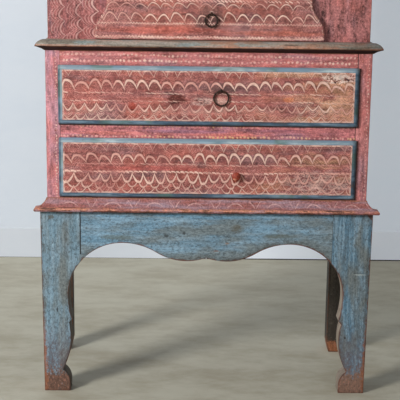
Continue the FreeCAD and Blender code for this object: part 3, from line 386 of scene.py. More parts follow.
class RopeLine(Effect):
    """A line of slanting dashes that looks like a rope."""

    placed = False
    STRAY = 1.5                    # mm
    STROKE_LEAST, STROKE_SPREAD = 0.65, 0.6
    FAINT = 0.3                    # share of the dashes that hardly show

    @classmethod
    def draw(cls, graph: Graph, across: Signal, up: Signal, at: Signal, pitch: Signal, rise: Signal,
             stroke: Signal, zigzag: Signal) -> dict[str, Signal]:
        """Draws one slanting dash, or one fold of a zigzag, in each step of the pitch.

        Args:
            graph: Where the nodes go.
            across: Place along the line in millimetres.
            up: Place across the line in millimetres.
            at: Where the line runs.
            pitch: Length of a dash with its gap.
            rise: Fall of a dash from its start to its end.
            stroke: Half width of a dash.
            zigzag: Nought for dashes with gaps, one for an unbroken zigzag.

        Returns:
            The mask of the dashes.
        """
        cell = across / pitch
        place = graph.math("FRACT", cell) - 0.5
        first, second, third = graph.chance(graph.math("FLOOR", cell) + at)
        folded = abs(place) * 2.0 - 0.5
        bent = (place + (folded - place) * zigzag) * rise
        offset = abs(up - at + bent + (first - 0.5) * (cls.STRAY - zigzag))
        half = stroke * (second * cls.STROKE_SPREAD + cls.STROKE_LEAST)
        kept = (abs(place).fall(0.4, 0.5) * third.fall(cls.FAINT, 0.0)).most(zigzag)
        return {"line": offset.fall(half * 0.4, half) * kept}


class DotRow(Effect):
    """A row of small dabs of paint."""

    placed = False
    STRAY_ALONG = 0.4              # of the pitch
    STRAY_UP = 4.0                 # mm
    SIZE_LEAST, SIZE_SPREAD = 0.7, 0.4

    @classmethod
    def draw(cls, graph: Graph, across: Signal, up: Signal, at: Signal, pitch: Signal,
             stroke: Signal) -> dict[str, Signal]:
        """Puts one dab in each step of the pitch, a little off its place.

        Args:
            graph: Where the nodes go.
            across: Place along the row in millimetres.
            up: Place across the row in millimetres.
            at: Where the row runs.
            pitch: Distance between dabs.
            stroke: Size of a dab.

        Returns:
            The mask of the dabs.
        """
        cell = across / pitch
        first, second, third = graph.chance(graph.math("FLOOR", cell) + at)
        along = (graph.math("FRACT", cell) - 0.5 + (first - 0.5) * cls.STRAY_ALONG) * pitch
        offset = up - at + (second - 0.5) * cls.STRAY_UP
        distance = graph.math("SQRT", along * along * (second * 0.7 + 0.6) + offset * offset)
        span = stroke * (third * cls.SIZE_SPREAD + cls.SIZE_LEAST)
        return {"line": distance.fall(span * 0.4, span) * (first * 0.5 + 0.6).least(1.0)}


class Dab(Effect):
    """One ragged oval patch."""

    BROKEN, CRUMBLED = 2.0, 1.2

    @classmethod
    def draw(cls, graph: Graph, across: Signal, up: Signal, x: Signal, z: Signal, wide: Signal,
             high: Signal) -> dict[str, Signal]:
        """Measures from the middle of the patch and breaks its rim with noise.

        Args:
            graph: Where the nodes go.
            across: Place along the board in millimetres.
            up: Place across the board in millimetres.
            x: Middle of the patch along the board.
            z: Middle of the patch across the board.
            wide: Half its width.
            high: Half its height.

        Returns:
            The mask of the patch.
        """
        along, rise = (across - x) / wide, (up - z) / high
        broken = graph.noise(0.8, 4.0, 0.7, graph.vector(along, rise, x)) - 0.5
        crumbled = graph.noise(5.0, 2.0, 0.7) - 0.5
        reach = along * along + rise * rise + broken * cls.BROKEN + crumbled * cls.CRUMBLED
        return {"mask": reach.fall(0.2, 1.1)}


class EdgeWear(Effect):
    """Paint rubbed off along the edges of a board, in ragged patches."""

    RAG = 2.2

    @classmethod
    def draw(cls, graph: Graph, distance: Signal, reach: Signal) -> dict[str, Signal]:
        """Compares the distance to the edge with a reach that noise varies.

        Args:
            graph: Where the nodes go.
            distance: Distance to the nearest edge in millimetres.
            reach: How far the wear goes in millimetres.

        Returns:
            The mask of the bare wood, and of the thin paint around it.
        """
        uneven = (graph.noise(38.0, 5.0, 0.65) - 0.5) * 2.0 * cls.RAG + 1.0
        span = reach * uneven.most(0.0)
        return {"worn": distance.fall(span * 0.55, span + 0.3), "rim": distance.fall(span, span * 2.6 + 2.0)}


class WoodGrain(Effect):
    """Lines of sawn pine that run along the third part of the place."""

    RING_WIDTH = 9.0
    KNOT_SPACING = 170.0

    @classmethod
    def draw(cls, graph: Graph) -> dict[str, Signal]:
        """Draws year rings from slow noise, with fine fibre between them.

        Args:
            graph: Where the nodes go.

        Returns:
            Dark year rings, fine fibre and a few knots, each from nought to one.
        """
        slow = graph.streaks(graph.place, 0.07, 60.0, 2.0)
        bend = graph.streaks(graph.place, 0.22, 95.0, 1.0)
        across = (graph.x + graph.y * 0.6) / cls.RING_WIDTH
        wave = graph.math("FRACT", across * 0.35 + slow * 7.0 + bend * 3.0)
        rings = wave.fall(1.0, 0.35) * wave.fall(0.97, 1.0)
        fibre = graph.streaks(graph.place, 0.03, 2.2, 2.0, 0.7)
        cells = graph.node("ShaderNodeTexVoronoi", {"Vector": graph.stretch((1.0, 1.0, 0.55)),
                                                    "Scale": 1.0 / cls.KNOT_SPACING, "Randomness": 1.0})
        knots = Signal(graph, cells.outputs["Distance"]).fall(0.02, 0.075)
        return {"rings": rings, "fibre": fibre, "knots": knots}


class Combing(Effect):
    """Fine wavy lines left by a comb drawn through wet paint."""

    SPACING = 5.5
    SWAY = 4.0
    PERIOD = 34.0
    DRIFT = 16.0

    @classmethod
    def draw(cls, graph: Graph, across: Signal, up: Signal) -> dict[str, Signal]:
        """Draws even lines that swing with the hand.

        Args:
            graph: Where the nodes go.
            across: Place along the lines.
            up: Place across the lines.

        Returns:
            The ridges of paint between the comb's teeth.
        """
        swing = graph.math("SINE", across / cls.PERIOD * math.tau) * cls.SWAY
        drift = (graph.noise(55.0, 2.0) - 0.5) * cls.DRIFT
        wave = graph.math("SINE", (up + swing + drift) / cls.SPACING * math.tau)
        return {"lines": wave * (graph.noise(30.0, 2.0).fall(0.62, 0.42)) * 0.5 + 0.5}


class Hatch(Effect):
    """Fine slanting lines left by a dry comb, that change their slant from patch to patch."""

    SPACING = 6.6
    SWAY = 30.0

    @classmethod
    def draw(cls, graph: Graph, across: Signal, up: Signal) -> dict[str, Signal]:
        """Draws two sets of lines and chooses between them.

        Args:
            graph: Where the nodes go.
            across: Place along the board.
            up: Place across the board.

        Returns:
            The ridges of paint between the comb's teeth.
        """
        sway = graph.noise(22.0, 4.0, 0.65) * cls.SWAY
        choice = graph.noise(26.0, 2.0).fall(0.56, 0.44)
        patch = graph.noise(34.0, 3.0, 0.6).fall(0.56, 0.36)
        rising = abs(graph.math("FRACT", (across - up * 0.7 + sway) / cls.SPACING) - 0.5).fall(0.5, 0.08)
        falling = abs(graph.math("FRACT", (across * 0.8 + up + sway) / cls.SPACING) - 0.5).fall(0.5, 0.08)
        return {"lines": (rising * choice + falling * (1.0 - choice)) * patch}


class Grime(Effect):
    """Stains, specks and thin places that age gives any painted board."""

    @classmethod
    def draw(cls, graph: Graph) -> dict[str, Signal]:
        """Layers noise of three sizes.

        Args:
            graph: Where the nodes go.

        Returns:
            Broad stains, small dark specks and thin worn places.
        """
        return {"stain": graph.noise(150.0, 4.0, 0.6).fall(0.68, 0.46),
                "speck": graph.noise(7.0, 2.0, 0.7).fall(0.73, 0.66),
                "thin": graph.noise(24.0, 5.0, 0.68).fall(0.66, 0.56)}


class Grain(Enum):
    """The way a board's grain runs."""

    X = (2, 1, 0)
    Y = (0, 2, 1)
    Z = (0, 1, 2)


class Bare(Enum):
    """The faces of a painted board that were left as bare wood."""

    NONE = "painted all round"
    BEHIND = "faces turned to the back"
    WITHIN = "faces turned to the inside"


@dataclass
class Coat:
    """What a finish draws on a surface: its colour, its gloss and its relief."""

    colour: Signal
    rough: Signal
    height: Signal


@dataclass(frozen=True)
class Finish:
    """A surface finish that can be made into a material."""

    title: str
    specular: float = 0.3
    relief: float = 0.6
    metal: float = 0.0

    def material(self) -> bpy.types.Material:
        """Makes the finish's material the first time it is asked for.

        Returns:
            The material.
        """
        name = f"{self.title}_finish"
        found = bpy.data.materials.get(name)
        if found:
            return found
        made = bpy.data.materials.new(name)
        made.use_nodes = True
        made.node_tree.nodes.clear()
        graph = Graph(made.node_tree)
        metres = Signal(graph, graph.node("ShaderNodeTexCoord").outputs["Object"])
        graph.stand_on(graph.stretch((1.0 / MM,) * 3, metres))
        coat = self.paint(graph)
        bump = graph.node("ShaderNodeBump", {"Strength": self.relief, "Distance": MM, "Height": coat.height})
        shader = graph.node("ShaderNodeBsdfPrincipled", {
            "Base Color": coat.colour, "Roughness": coat.rough, "Metallic": self.metal,
            "Specular IOR Level": self.specular, "Normal": Signal(graph, bump.outputs["Normal"])})
        graph.node("ShaderNodeOutputMaterial", {"Surface": self.surface(graph, shader)})
        return made

    def surface(self, graph: Graph, shader: bpy.types.Node) -> Signal:
        """The shader as it meets the surface."""
        return Signal(graph, shader.outputs["BSDF"])

    def paint(self, graph: Graph) -> Coat:
        """Draws the finish."""
        raise NotImplementedError


@dataclass(frozen=True)
class Pine(Finish):
    """Bare aged pine."""

    grain: Grain = Grain.Z
    pale: Colour = tone(196, 152, 104)
    dark: Colour = tone(150, 102, 62)
    aged: Colour = tone(120, 92, 66)
    age: float = 0.45
    speck: Colour = tone(60, 44, 32)
    joint: Colour = tone(40, 30, 24)
    board_width: float = 0.0
    slide: float = 400.0           # most that a board's figure lies off its neighbour's, across
    lift: float = 900.0            # and along

    def paint(self, graph: Graph) -> Coat:
        """Draws grain, knots and stains, and the joints where several boards lie side by side.

        Args:
            graph: Where the nodes go.

        Returns:
            The wood's coat.
        """
        if self.board_width:
            cell = graph.x / self.board_width + 0.5
            slide, lift, tint = graph.chance(graph.math("FLOOR", cell))
            graph.stand_on(graph.vector(graph.x + slide * self.slide, graph.y, graph.z + lift * self.lift))
        wood = graph.effect(WoodGrain, place=graph.along(self.grain))
        grime = graph.effect(Grime)
        colour = graph.mix(self.pale, (self.dark, wood["rings"] * 0.55 + wood["fibre"] * 0.35),
                           (self.aged, grime["stain"] * self.age + wood["knots"] * 0.8),
                           (self.speck, grime["speck"] * 0.5))
        if self.board_width:
            from_joint = (0.5 - abs(graph.math("FRACT", cell) - 0.5)) * self.board_width
            colour = graph.shade(colour, tint * 0.36 + 0.82)
            colour = graph.mix(colour, (self.joint, from_joint.fall(1.0, 3.0) * 0.8))
        return Coat(colour, wood["fibre"] * 0.2 + 0.62, wood["fibre"] * 0.35 - wood["rings"] * 0.2)


def back_pine(title: str, board_width: float) -> Pine:
    """The greyed pine of a back made of several boards of one width."""
    return Pine(title, age=0.5, pale=tone(176, 140, 102), board_width=board_width)


@dataclass(frozen=True)
class Seam:
    """A joint that has opened to a dark line, in millimetres."""

    x: float
    low: float = 0.0
    half: float = 1.2
    strength: float = 0.9


@dataclass(frozen=True)
class Painted(Finish):
    """Paint over pine, worn at the edges and left off the faces that nobody sees."""

    grain: Grain = Grain.Z
    bare: Bare = Bare.NONE
    limit: float = 0.0
    within: float = 10000.0
    bare_pale: Colour = tone(190, 146, 100)
    bare_dark: Colour = tone(148, 102, 64)
    bare_aged: Colour = tone(122, 92, 66)
    reach: float = 4.0
    wood: Colour = tone(158, 104, 70)
    wood_dark: Colour = tone(104, 62, 42)
    speck: Colour = tone(52, 38, 32)
    gap: Colour = tone(34, 28, 28)
    seams: tuple[Seam, ...] = ()

    def field(self, graph: Graph) -> Coat:
        """Draws the paint itself, before wear."""
        raise NotImplementedError

    def paint(self, graph: Graph) -> Coat:
        """Lays the paint over the wood through the wear and the bare faces.

        Args:
            graph: Where the nodes go.

        Returns:
            The worn coat.
        """
        coat = self.field(graph)
        grain = graph.effect(WoodGrain, place=graph.along(self.grain))
        grime = graph.effect(Grime)
        wear = graph.effect(EdgeWear, distance=graph.edge_distance(), reach=self.reach)
        figure = grain["rings"] * 0.5 + grain["fibre"] * 0.4
        colour = graph.mix(coat.colour, (graph.mix(self.wood, (self.wood_dark, figure)),
                                         wear["worn"] * 0.85 + wear["rim"] * grime["thin"] * 0.3),
                           (self.speck, grime["speck"] * 0.35))
        for seam in self.seams:
            wander = (graph.noise(24.0) - 0.5) * 1.6
            opened = abs(graph.x - seam.x + wander).fall(seam.half * 0.5, seam.half + 0.5)
            opened = opened * graph.z.fall(seam.low, seam.low - 3.0) * seam.strength
            colour = graph.mix(colour, (self.gap, opened))
        if self.bare is not Bare.NONE:
            ragged = (graph.noise(14.0) - 0.5) * 2.0
            depth = graph.y + ragged if self.bare is Bare.BEHIND else abs(graph.x) * -1.0 + ragged
            unpainted = depth.fall(self.limit + 0.4, self.limit - 0.4)
            unpainted = unpainted * abs(graph.x).fall(self.within - 2.0, self.within)
            pine = graph.mix(self.bare_pale, (self.bare_dark, figure),
                             (self.bare_aged, grime["stain"] * 0.5 + grain["knots"] * 0.7))
            colour = graph.mix(colour, (pine, unpainted))
        return Coat(colour, coat.rough + grain["fibre"] * 0.12,
                    coat.height + grain["fibre"] * 0.25 - wear["worn"] * 0.3)


class RowKind(Enum):
    """The strokes that a painted row is made of, each with its effect."""

    ARCS = ScallopRow
    ROPE = RopeLine
    DOTS = DotRow


@dataclass(frozen=True)
class PaintRow:
    """One row of a painted pattern, in millimetres."""

    kind: RowKind
    at: float
    rise: float = 0.0
    pitch: float = 36.0
    phase: float = 0.0
    stroke: float = 3.0
    echoes: float = 0.0
    strength: float = 1.0
    peak: float = 0.42
    skew: float = 0.0
    spacing: float = 7.0
    echo: float = 0.5
    zigzag: float = 0.0
    power: float = 2.0

    def draw(self, graph: Graph, across: Signal, up: Signal) -> dict[str, Signal]:
        """Places the row's effect with those of the row's sizes that it takes."""
        sizes = {name: getattr(self, name) for name in self.kind.value.inputs() if hasattr(self, name)}
        return graph.effect(self.kind.value, across=across, up=up, **sizes)


ARCS, ROPE, DOTS = (partial(PaintRow, kind) for kind in RowKind)


@dataclass(frozen=True)
class Spot:
    """One patch of another colour on a board, in millimetres."""

    x: float
    z: float
    wide: float
    high: float
    colour: Colour
    strength: float = 0.8
    grit: float = 0.0
    dirt: Colour = tone(72, 50, 54)

    def lay(self, graph: Graph, colour: Value, across: Signal, up: Signal) -> Value:
        """Lays the patch over a colour.

        Args:
            graph: Where the nodes go.
            colour: The colour below.
            across: Place along the board.
            up: Place across the board.

        Returns:
            The colour with the patch on it.
        """
        mask = graph.effect(Dab, across=across, up=up, x=self.x, z=self.z, wide=self.wide,
                            high=self.high)["mask"]
        if not self.grit:
            return graph.mix(colour, (self.colour, mask * self.strength))
        crumbs = graph.noise(7.0, 2.0, 0.8, graph.stretch((0.45, 1.0, 1.0)))
        return graph.mix(colour, (self.colour, mask * crumbs.fall(0.5, 0.44) * self.strength),
                         (self.dirt, mask * crumbs.fall(0.38, 0.44) * self.grit))


@dataclass(frozen=True)
class CombedRed(Painted):
    """Red-brown paint with pale rows drawn by comb and finger, and an optional blue edge."""

    ground: Colour = tone(152, 82, 78)
    warm: Colour = tone(169, 86, 74)
    cool: Colour = tone(128, 95, 100)
    sand: Colour = tone(196, 148, 112)
    pale: Colour = tone(222, 162, 149)
    cream: Colour = tone(240, 200, 183)
    rim: Colour = tone(222, 190, 176)
    lip_shadow: Colour = tone(44, 30, 28)
    slate_dark: Colour = tone(70, 92, 112)
    slate_light: Colour = tone(122, 146, 164)
    slate_green: Colour = tone(84, 112, 104)
    slate_brown: Colour = tone(92, 78, 68)
    # whitening: on the blue edge, a painted highlight along the top and a paler strip inside the left side
    chalk: Colour = tone(196, 212, 218)
    rows: tuple[PaintRow, ...] = ()
    spots: tuple[Spot, ...] = ()
    upright: bool = False
    border: Optional[tuple[float, float, float, float]] = None
    border_width: float = 13.0
    lips: tuple[tuple[float, float, float, float], ...] = ()
    combing: float = 0.3
    hatching: float = 0.7
    mottle: float = 0.9
    grit: float = 1.5
    outline: float = 0.0
    drift: float = 7.0
    warp: float = 34.0
    sand_from: float = 1000.0

    def field(self, graph: Graph) -> Coat:
        """Draws the ground, its patches, its rows and its edge.

        Args:
            graph: Where the nodes go.

        Returns:
            The paint's coat.
        """
        x, z = graph.x, graph.z
        across, up = (z, x) if self.upright else (x, z)
        sway = (graph.noise(210.0, 1.0) - 0.5) * 2.0 * self.drift
        shake = (graph.noise(26.0, 1.0) - 0.5) * 5.0
        pull = (graph.noise(150.0, 1.0) - 0.5) * self.warp
        hand_up, hand_across = up + sway + shake * 0.5, across + shake + pull
        along = graph.along(self.grain)
        smear = graph.streaks(along, 0.25, 42.0, 5.0, 0.62)
        tint = graph.noise(120.0, 3.0, 0.6)
        sandy = (x + (tint - 0.5) * 300.0).fall(self.sand_from + 160.0, self.sand_from - 60.0)
        comb = graph.effect(Combing, across=hand_across, up=hand_up)["lines"]
        hatch = graph.effect(Hatch, across=across, up=up)["lines"]
        lines = comb * self.combing + hatch * self.hatching
        colour = graph.mix(self.ground, (self.warm, tint.fall(0.64, 0.44) * 0.75),
                           (self.cool, smear.fall(0.7, 0.48) * 0.75),
                           (self.sand, sandy * smear.fall(0.36, 0.56) * 0.75), (self.pale, lines * 0.36))
        for spot in self.spots:
            colour = spot.lay(graph, colour, across, up)
        streak = graph.streaks(along, 0.14, 6.0, 4.0, 0.75)
        speckle = graph.noise(6.0, 2.0, 0.8)
        cloud = graph.streaks(along, 0.22, 17.0, 4.0, 0.7)
        light = (lines * 0.6 + (streak - 0.5) * 1.7 + (speckle - 0.5) * self.grit
                 + (cloud - 0.5) * self.mottle * 1.3)
        colour = graph.shade(colour, (light + 1.0 - (self.combing + self.hatching) * 0.24).most(0.2))
        colour = graph.mix(colour, (self.pale, speckle.fall(0.72, 0.58) * 0.45))
        height = lines * 0.35 + smear * 0.3
        if self.rows:
            pale, inside = self.strokes(graph, hand_across, hand_up)
            dry = graph.noise(6.0, 3.0, 0.7, graph.stretch((0.6, 1.0, 1.0))).fall(0.4, 0.66)
            press = graph.noise(115.0, 3.0, 0.6)
            pale = pale * (dry * 0.32 + 0.72) * (press.fall(0.58, 0.34) * 0.16 + 0.84)
            colour = graph.shade(colour, 1.0 - inside * 0.2)
            colour = graph.mix(colour, (graph.mix(self.pale, (self.cream, press.fall(0.6, 0.42))), pale))
            height = height + pale * 0.5
        if self.border:
            edge, line, inward = self.edging(graph)
            lower = z.fall(self.border[3] - 24.0, self.border[3] - 34.0)
            colour = graph.mix(colour, (graph.mix(self.rim, (self.cream, lower)), line * 0.8),
                               (self.slate(graph, inward), edge))
        if self.outline:
            drawn = abs(graph.edge_distance() - self.outline).fall(0.6, 2.0) * streak.fall(0.36, 0.6) * 0.7
            colour = graph.mix(colour, (self.cream, drawn))
        for left, right, low, high in self.lips:
            outward = (left - x).most(x - right).most((low - z).most(z - high)) + (speckle - 0.5) * 2.0
            colour = graph.mix(colour, (self.lip_shadow, outward.fall(0.6, 3.2) * 0.85))
        return Coat(colour, smear * 0.2 + 0.5, height)

    def strokes(self, graph: Graph, across: Signal, up: Signal) -> tuple[Signal, Signal]:
        """Draws every row.

        Args:
            graph: Where the nodes go.
            across: Place along the rows.
            up: Place across the rows.

        Returns:
            The mask of the pale strokes, and of the insides of the arcs together with the painted
            shade beside the strokes.
        """
        pale, inside = [], []
        for row in self.rows:
            drawn = row.draw(graph, across, up)
            mask = drawn["line"]
            if row.echoes:
                faint = graph.noise(30.0, 3.0).fall(0.54, 0.34)
                mask = mask.most(drawn["echo"] * faint * row.echo)
            if row.kind is RowKind.ARCS:
                # the arcs' insides darken, and so does the painted shade beside each stroke
                inside.append(drawn["inside"].most(drawn["furrow"] * 1.5) * row.strength)
            pale.append(mask * row.strength)
        return reduce(Signal.most, pale), reduce(Signal.most, inside or [pale[0] * 0.5])

    def edging(self, graph: Graph) -> tuple[Signal, Signal, Signal]:
        """Finds the painted edge of a board.

        Args:
            graph: Where the nodes go.

        Returns:
            The mask of the edge's paint, that of the pale line inside it, and the distance from the
            board's rim.
        """
        left, right, low, high = self.border
        x, z = graph.x, graph.z
        inward = (x - left).least(right - x).least((z - low).least(high - z))
        inward = inward + (graph.noise(30.0, 3.0) - 0.5) * 2.4
        ragged = graph.noise(22.0, 4.0, 0.7).fall(0.36, 0.66)
        line = abs(inward - self.border_width - 2.2).fall(0.8, 3.4) * ragged
        return inward.fall(self.border_width - 0.8, self.border_width + 0.8), line, inward

    def slate(self, graph: Graph, inward: Signal) -> Signal:
        """Draws a painted edge's blue-grey, with painted highlight along the top and painted shade on the
        right.

        Args:
            graph: Where the nodes go.
            inward: Distance from the board's rim.

        Returns:
            The colour.
        """
        left, right, rim, high = self.border
        x, z, width, low = graph.x, graph.z, self.border_width, rim + self.border_width
        streak = graph.noise(12.0, 4.0, 0.65, graph.stretch((0.12, 1.0, 0.5)))
        slow = graph.noise(90.0)
        half = inward.fall(width * 0.62, width * 0.4)
        # painted highlight along the top of the edge, where light falls on the bead, and a paler inner strip
        # on the left
        chalk = z.fall(high - width + 3.0, high - width - 3.0) * streak.fall(0.26, 0.66)
        chalk = (chalk * (half * 0.4 + 0.6)).most(half * x.fall(0.0, 40.0) * z.fall(low + 6.0, low) * 0.3)
        colour = graph.mix(self.slate_dark, (self.slate_light, streak.fall(0.66, 0.4)),
                           (self.slate_green, slow.fall(0.66, 0.52) * 0.8),
                           (self.slate_brown, streak.fall(0.3, 0.44) * 0.7), (self.chalk, chalk))
        # painted shade in the groove between the bead and the field along the bottom
        quirk = abs(z - low + 2.0).fall(0.8, 2.4) * slow.fall(0.42, 0.6)
        outer = x.fall(left + width * 0.4, left + width * 0.8)
        # painted shade along the right side, turned from the lamp, and in the groove; the left side's outer
        # half is darker too
        dark = x.fall(right - 6.0, right - width - 4.0).most(quirk).most(outer)
        return graph.shade(colour, 1.0 - dark * 0.42)


@dataclass(frozen=True)
class StandBlue(Painted):
    """Blue-grey paint of the stand, streaked along the grain, its feet worn to red-brown."""

    blue: Colour = tone(110, 138, 154)
    light: Colour = tone(140, 162, 176)
    earth: Colour = tone(110, 110, 102)
    dark: Colour = tone(64, 66, 64)
    mauve: Colour = tone(98, 86, 90)
    foot: Colour = tone(102, 76, 64)
    foot_pale: Colour = tone(178, 124, 104)
    foot_dark: Colour = tone(66, 40, 34)
    bright: Colour = tone(112, 160, 192)
    rubbed: Colour = tone(72, 64, 56)
    chalk: Colour = tone(178, 178, 166)
    foot_high: float = 125.0
    earthy: float = 0.75
    spots: tuple[Spot, ...] = ()
    bright_above: float = 10000.0
    sinking: float = 0.0
    rusty_side: float = 0.0
    rusty: Colour = tone(150, 94, 66)
    sink_zone: tuple[float, float] = (420.0, 520.0)
    mauve_zone: tuple[float, float] = (80.0, 260.0)
    rust_zone: tuple[float, float] = (120.0, 290.0)
    rust_widens: tuple[float, float] = (40.0, 210.0)

    def field(self, graph: Graph) -> Coat:
        """Draws streaks, stains and worn feet.

        Args:
            graph: Where the nodes go.

        Returns:
            The paint's coat.
        """
        x, z, along = graph.x, graph.z, graph.along(self.grain)
        streak = graph.streaks(along, 0.06, 9.0, 4.0, 0.65)
        broad = graph.streaks(along, 0.3, 70.0, 4.0, 0.6)
        fleck = graph.streaks(along, 0.6, 6.5, 4.0, 0.78)
        grit = graph.streaks(along, 0.5, 5.0, 3.0, 0.8)
        settled = broad + z.fall(*self.sink_zone) * self.sinking
        strip = (z + (broad - 0.5) * 30.0).fall(self.bright_above + 7.0, self.bright_above - 7.0)
        colour = graph.mix(self.blue, (self.light, streak.fall(0.66, 0.38) * 0.6),
                           (self.earth, settled.fall(0.64, 0.44) * self.earthy),
                           (self.bright, strip * streak.fall(0.3, 0.6) * 0.85),
                           (self.dark, fleck.fall(0.66, 0.5) * 0.6))
        colour = graph.shade(colour, (grit - 0.5) * 2.1 + (streak - 0.5) * 0.8 + 1.0)
        band = graph.edge_distance().fall(3.0, 17.0) * broad.fall(0.56, 0.4)
        low = (z + (broad - 0.5) * 120.0).fall(*self.mauve_zone)
        worn = (fleck + z.fall(self.foot_high * 0.15, self.foot_high) * 0.45).fall(0.84, 0.66)
        speckled = graph.mix(self.foot, (self.foot_pale, grit.fall(0.7, 0.5) * 0.6),
                             (self.foot_dark, grit.fall(0.32, 0.48) * 0.7))
        colour = graph.mix(colour, (self.rubbed, band * (fleck.fall(0.62, 0.36) * 0.5 + 0.2)),
                           (self.mauve, low * (fleck.fall(0.62, 0.38) * 0.55 + 0.3)),
                           (speckled, worn * z.fall(self.foot_high * 0.45, self.foot_high)))
        if self.rusty_side:
            side = x * math.copysign(1.0, self.rusty_side) + (fleck - 0.5) * 30.0
            side = side + z.fall(*self.rust_widens) * 5.0
            start = abs(self.rusty_side)
            rust = graph.shade(self.rusty[:3], (grit - 0.5) * 2.0 + 0.95)
            reached = side.fall(start + 3.0, start - 3.0) * z.fall(*self.rust_zone)
            colour = graph.mix(colour, (rust, reached * 0.8))
        colour = graph.mix(colour, (self.chalk, graph.noise(5.0, 2.0, 0.7).fall(0.76, 0.68) * 0.3))
        for spot in self.spots:
            colour = spot.lay(graph, colour, x, z)
        return Coat(colour, streak * 0.25 + 0.45, streak * 0.5 + fleck * 0.3)


@dataclass(frozen=True)
class MouldingRed(Painted):
    """Mauve-red paint of the base moulding with pale marks in its hollow and a rubbed nose."""

    ground: Colour = tone(158, 104, 102)
    cool: Colour = tone(146, 120, 128)
    pale: Colour = tone(226, 178, 172)
    # nose: bare wood of the rubbed nose, lighter as a painted highlight; under: painted shade on its lower
    # half
    nose: Colour = tone(202, 136, 108)
    under: Colour = tone(96, 58, 46)
    warm: Colour = tone(166, 92, 78)
    dirt: Colour = tone(78, 50, 46)
    period: float = 120.5
    middle: float = 26.0
    crowding: float = 0.01
    nose_top: float = 583.0
    low: float = 586.0
    high: float = 605.0
    first: float = -424.0
    chevron_gap: float = 3.0
    chevron_slope: float = 0.75
    arch_half: float = 25.0
    arch_rise: float = 11.0

    def field(self, graph: Graph) -> Coat:
        """Draws the ground, its alternating marks and the rubbed nose with its painted highlight and shade.

        Args:
            graph: Where the nodes go.

        Returns:
            The paint's coat.
        """
        x, z = graph.x, graph.z
        smear = graph.noise(24.0, 5.0, 0.65, graph.stretch((0.15, 1.0, 1.0)))
        turns = (x + (graph.noise(30.0) - 0.5) * 12.0 - self.middle) / self.period
        turns = turns + turns * turns * self.crowding
        step = graph.math("FRACT", turns + 0.5) - 0.5
        slant = (z - self.low) * self.chevron_slope
        chevron = abs(abs(step) * self.period - self.chevron_gap - slant).fall(0.8, 2.6)
        around = graph.math("FRACT", turns) - 0.5
        bow = 1.0 - (abs(around) * self.period / self.arch_half) ** 2.0
        arch = abs(z - self.low - bow * self.arch_rise).fall(0.8, 2.4) * bow.fall(0.1, 0.0)
        window = z.fall(self.low, self.low - 1.5) * z.fall(self.high, self.high + 2.0)
        dry = graph.noise(8.0, 3.0, 0.7).fall(0.34, 0.58) * graph.noise(60.0).fall(0.58, 0.38)
        marks = (chevron * abs(step).fall(0.12, 0.16)).most(arch) * window * (dry * 0.62 + 0.38)
        marks = marks * x.fall(self.first, self.first - 10.0)
        grit = graph.noise(6.0, 3.0, 0.75)
        colour = graph.mix(self.ground, (self.cool, smear.fall(0.66, 0.42)),
                           (self.warm, smear.fall(0.3, 0.5) * 0.7))
        colour = graph.shade(colour, (grit - 0.5) * 3.0 + (smear - 0.5) * 1.5 + 1.0)
        colour = graph.shade(colour, 1.0 - window * chevron.most(arch) * 0.12)
        patch = graph.noise(16.0, 5.0, 0.7, graph.stretch((0.3, 1.0, 1.0)))
        rubbed = z.fall(self.nose_top - 1.0, self.nose_top + 2.0) * patch.fall(0.44, 0.6)
        # bare wood in patches on the nose: lighter on its upper half as painted highlight, darker below as
        # painted shade
        bare = graph.mix(self.nose, (self.under, z.fall(self.nose_top - 7.0, self.nose_top - 3.0)),
                         (self.dirt, patch.fall(0.38, 0.48) * 0.9))
        colour = graph.mix(colour, (self.pale, marks * 0.9),
                           (graph.shade(bare, (grit - 0.5) * 3.6 + 1.1), rubbed))
        return Coat(colour, smear * 0.2 + 0.48, marks * 0.4 + smear * 0.4)


@dataclass(frozen=True)
class LedgeGreen(Painted):
    """Grey-green paint of the ledge and cornice, worn to brown."""

    green: Colour = tone(163, 153, 141)
    deep: Colour = tone(119, 112, 100)
    brown: Colour = tone(172, 126, 102)
    rust: Colour = tone(190, 114, 86)
    teal: Colour = tone(134, 148, 146)
    dirt: Colour = tone(70, 66, 58)
    shadow: Colour = tone(30, 11, 5)
    shadow_below: float = -1.0
    dark_from: float = 10000.0

    def field(self, graph: Graph) -> Coat:
        """Draws long streaks and worn places.

        Args:
            graph: Where the nodes go.

        Returns:
            The paint's coat.
        """
        along = graph.along(self.grain)
        streak = graph.streaks(along, 0.08, 14.0, 5.0, 0.65)
        broad = graph.streaks(along, 0.25, 60.0, 4.0, 0.65)
        mottle = graph.streaks(along, 0.3, 22.0, 4.0, 0.7)
        height = graph.z + (broad - 0.5) * 4.0
        lip = abs(height - self.shadow_below - 2.2).fall(0.6, 2.0)
        colour = graph.mix(self.green, (self.deep, streak.fall(0.36, 0.56)),
                           (self.brown, broad.fall(0.6, 0.44) * 0.85),
                           (self.teal, mottle.fall(0.64, 0.5) * 0.75),
                           (self.dirt, mottle.fall(0.3, 0.42) * 0.7),
                           (self.rust, streak.fall(0.68, 0.56) * 0.5),
                           (self.rust, lip * streak.fall(0.5, 0.36) * 0.5),
                           (self.shadow, height.fall(self.shadow_below - 0.6, self.shadow_below + 0.6)))
        dark = (graph.x + (broad - 0.5) * 300.0).fall(self.dark_from + 170.0, self.dark_from)
        colour = graph.shade(colour, 1.0 - dark * 0.45)
        colour = graph.shade(colour, (graph.noise(6.0, 3.0, 0.75) - 0.5) * 1.8 + 1.0)
        return Coat(colour, streak * 0.2 + 0.45, streak * 0.6)


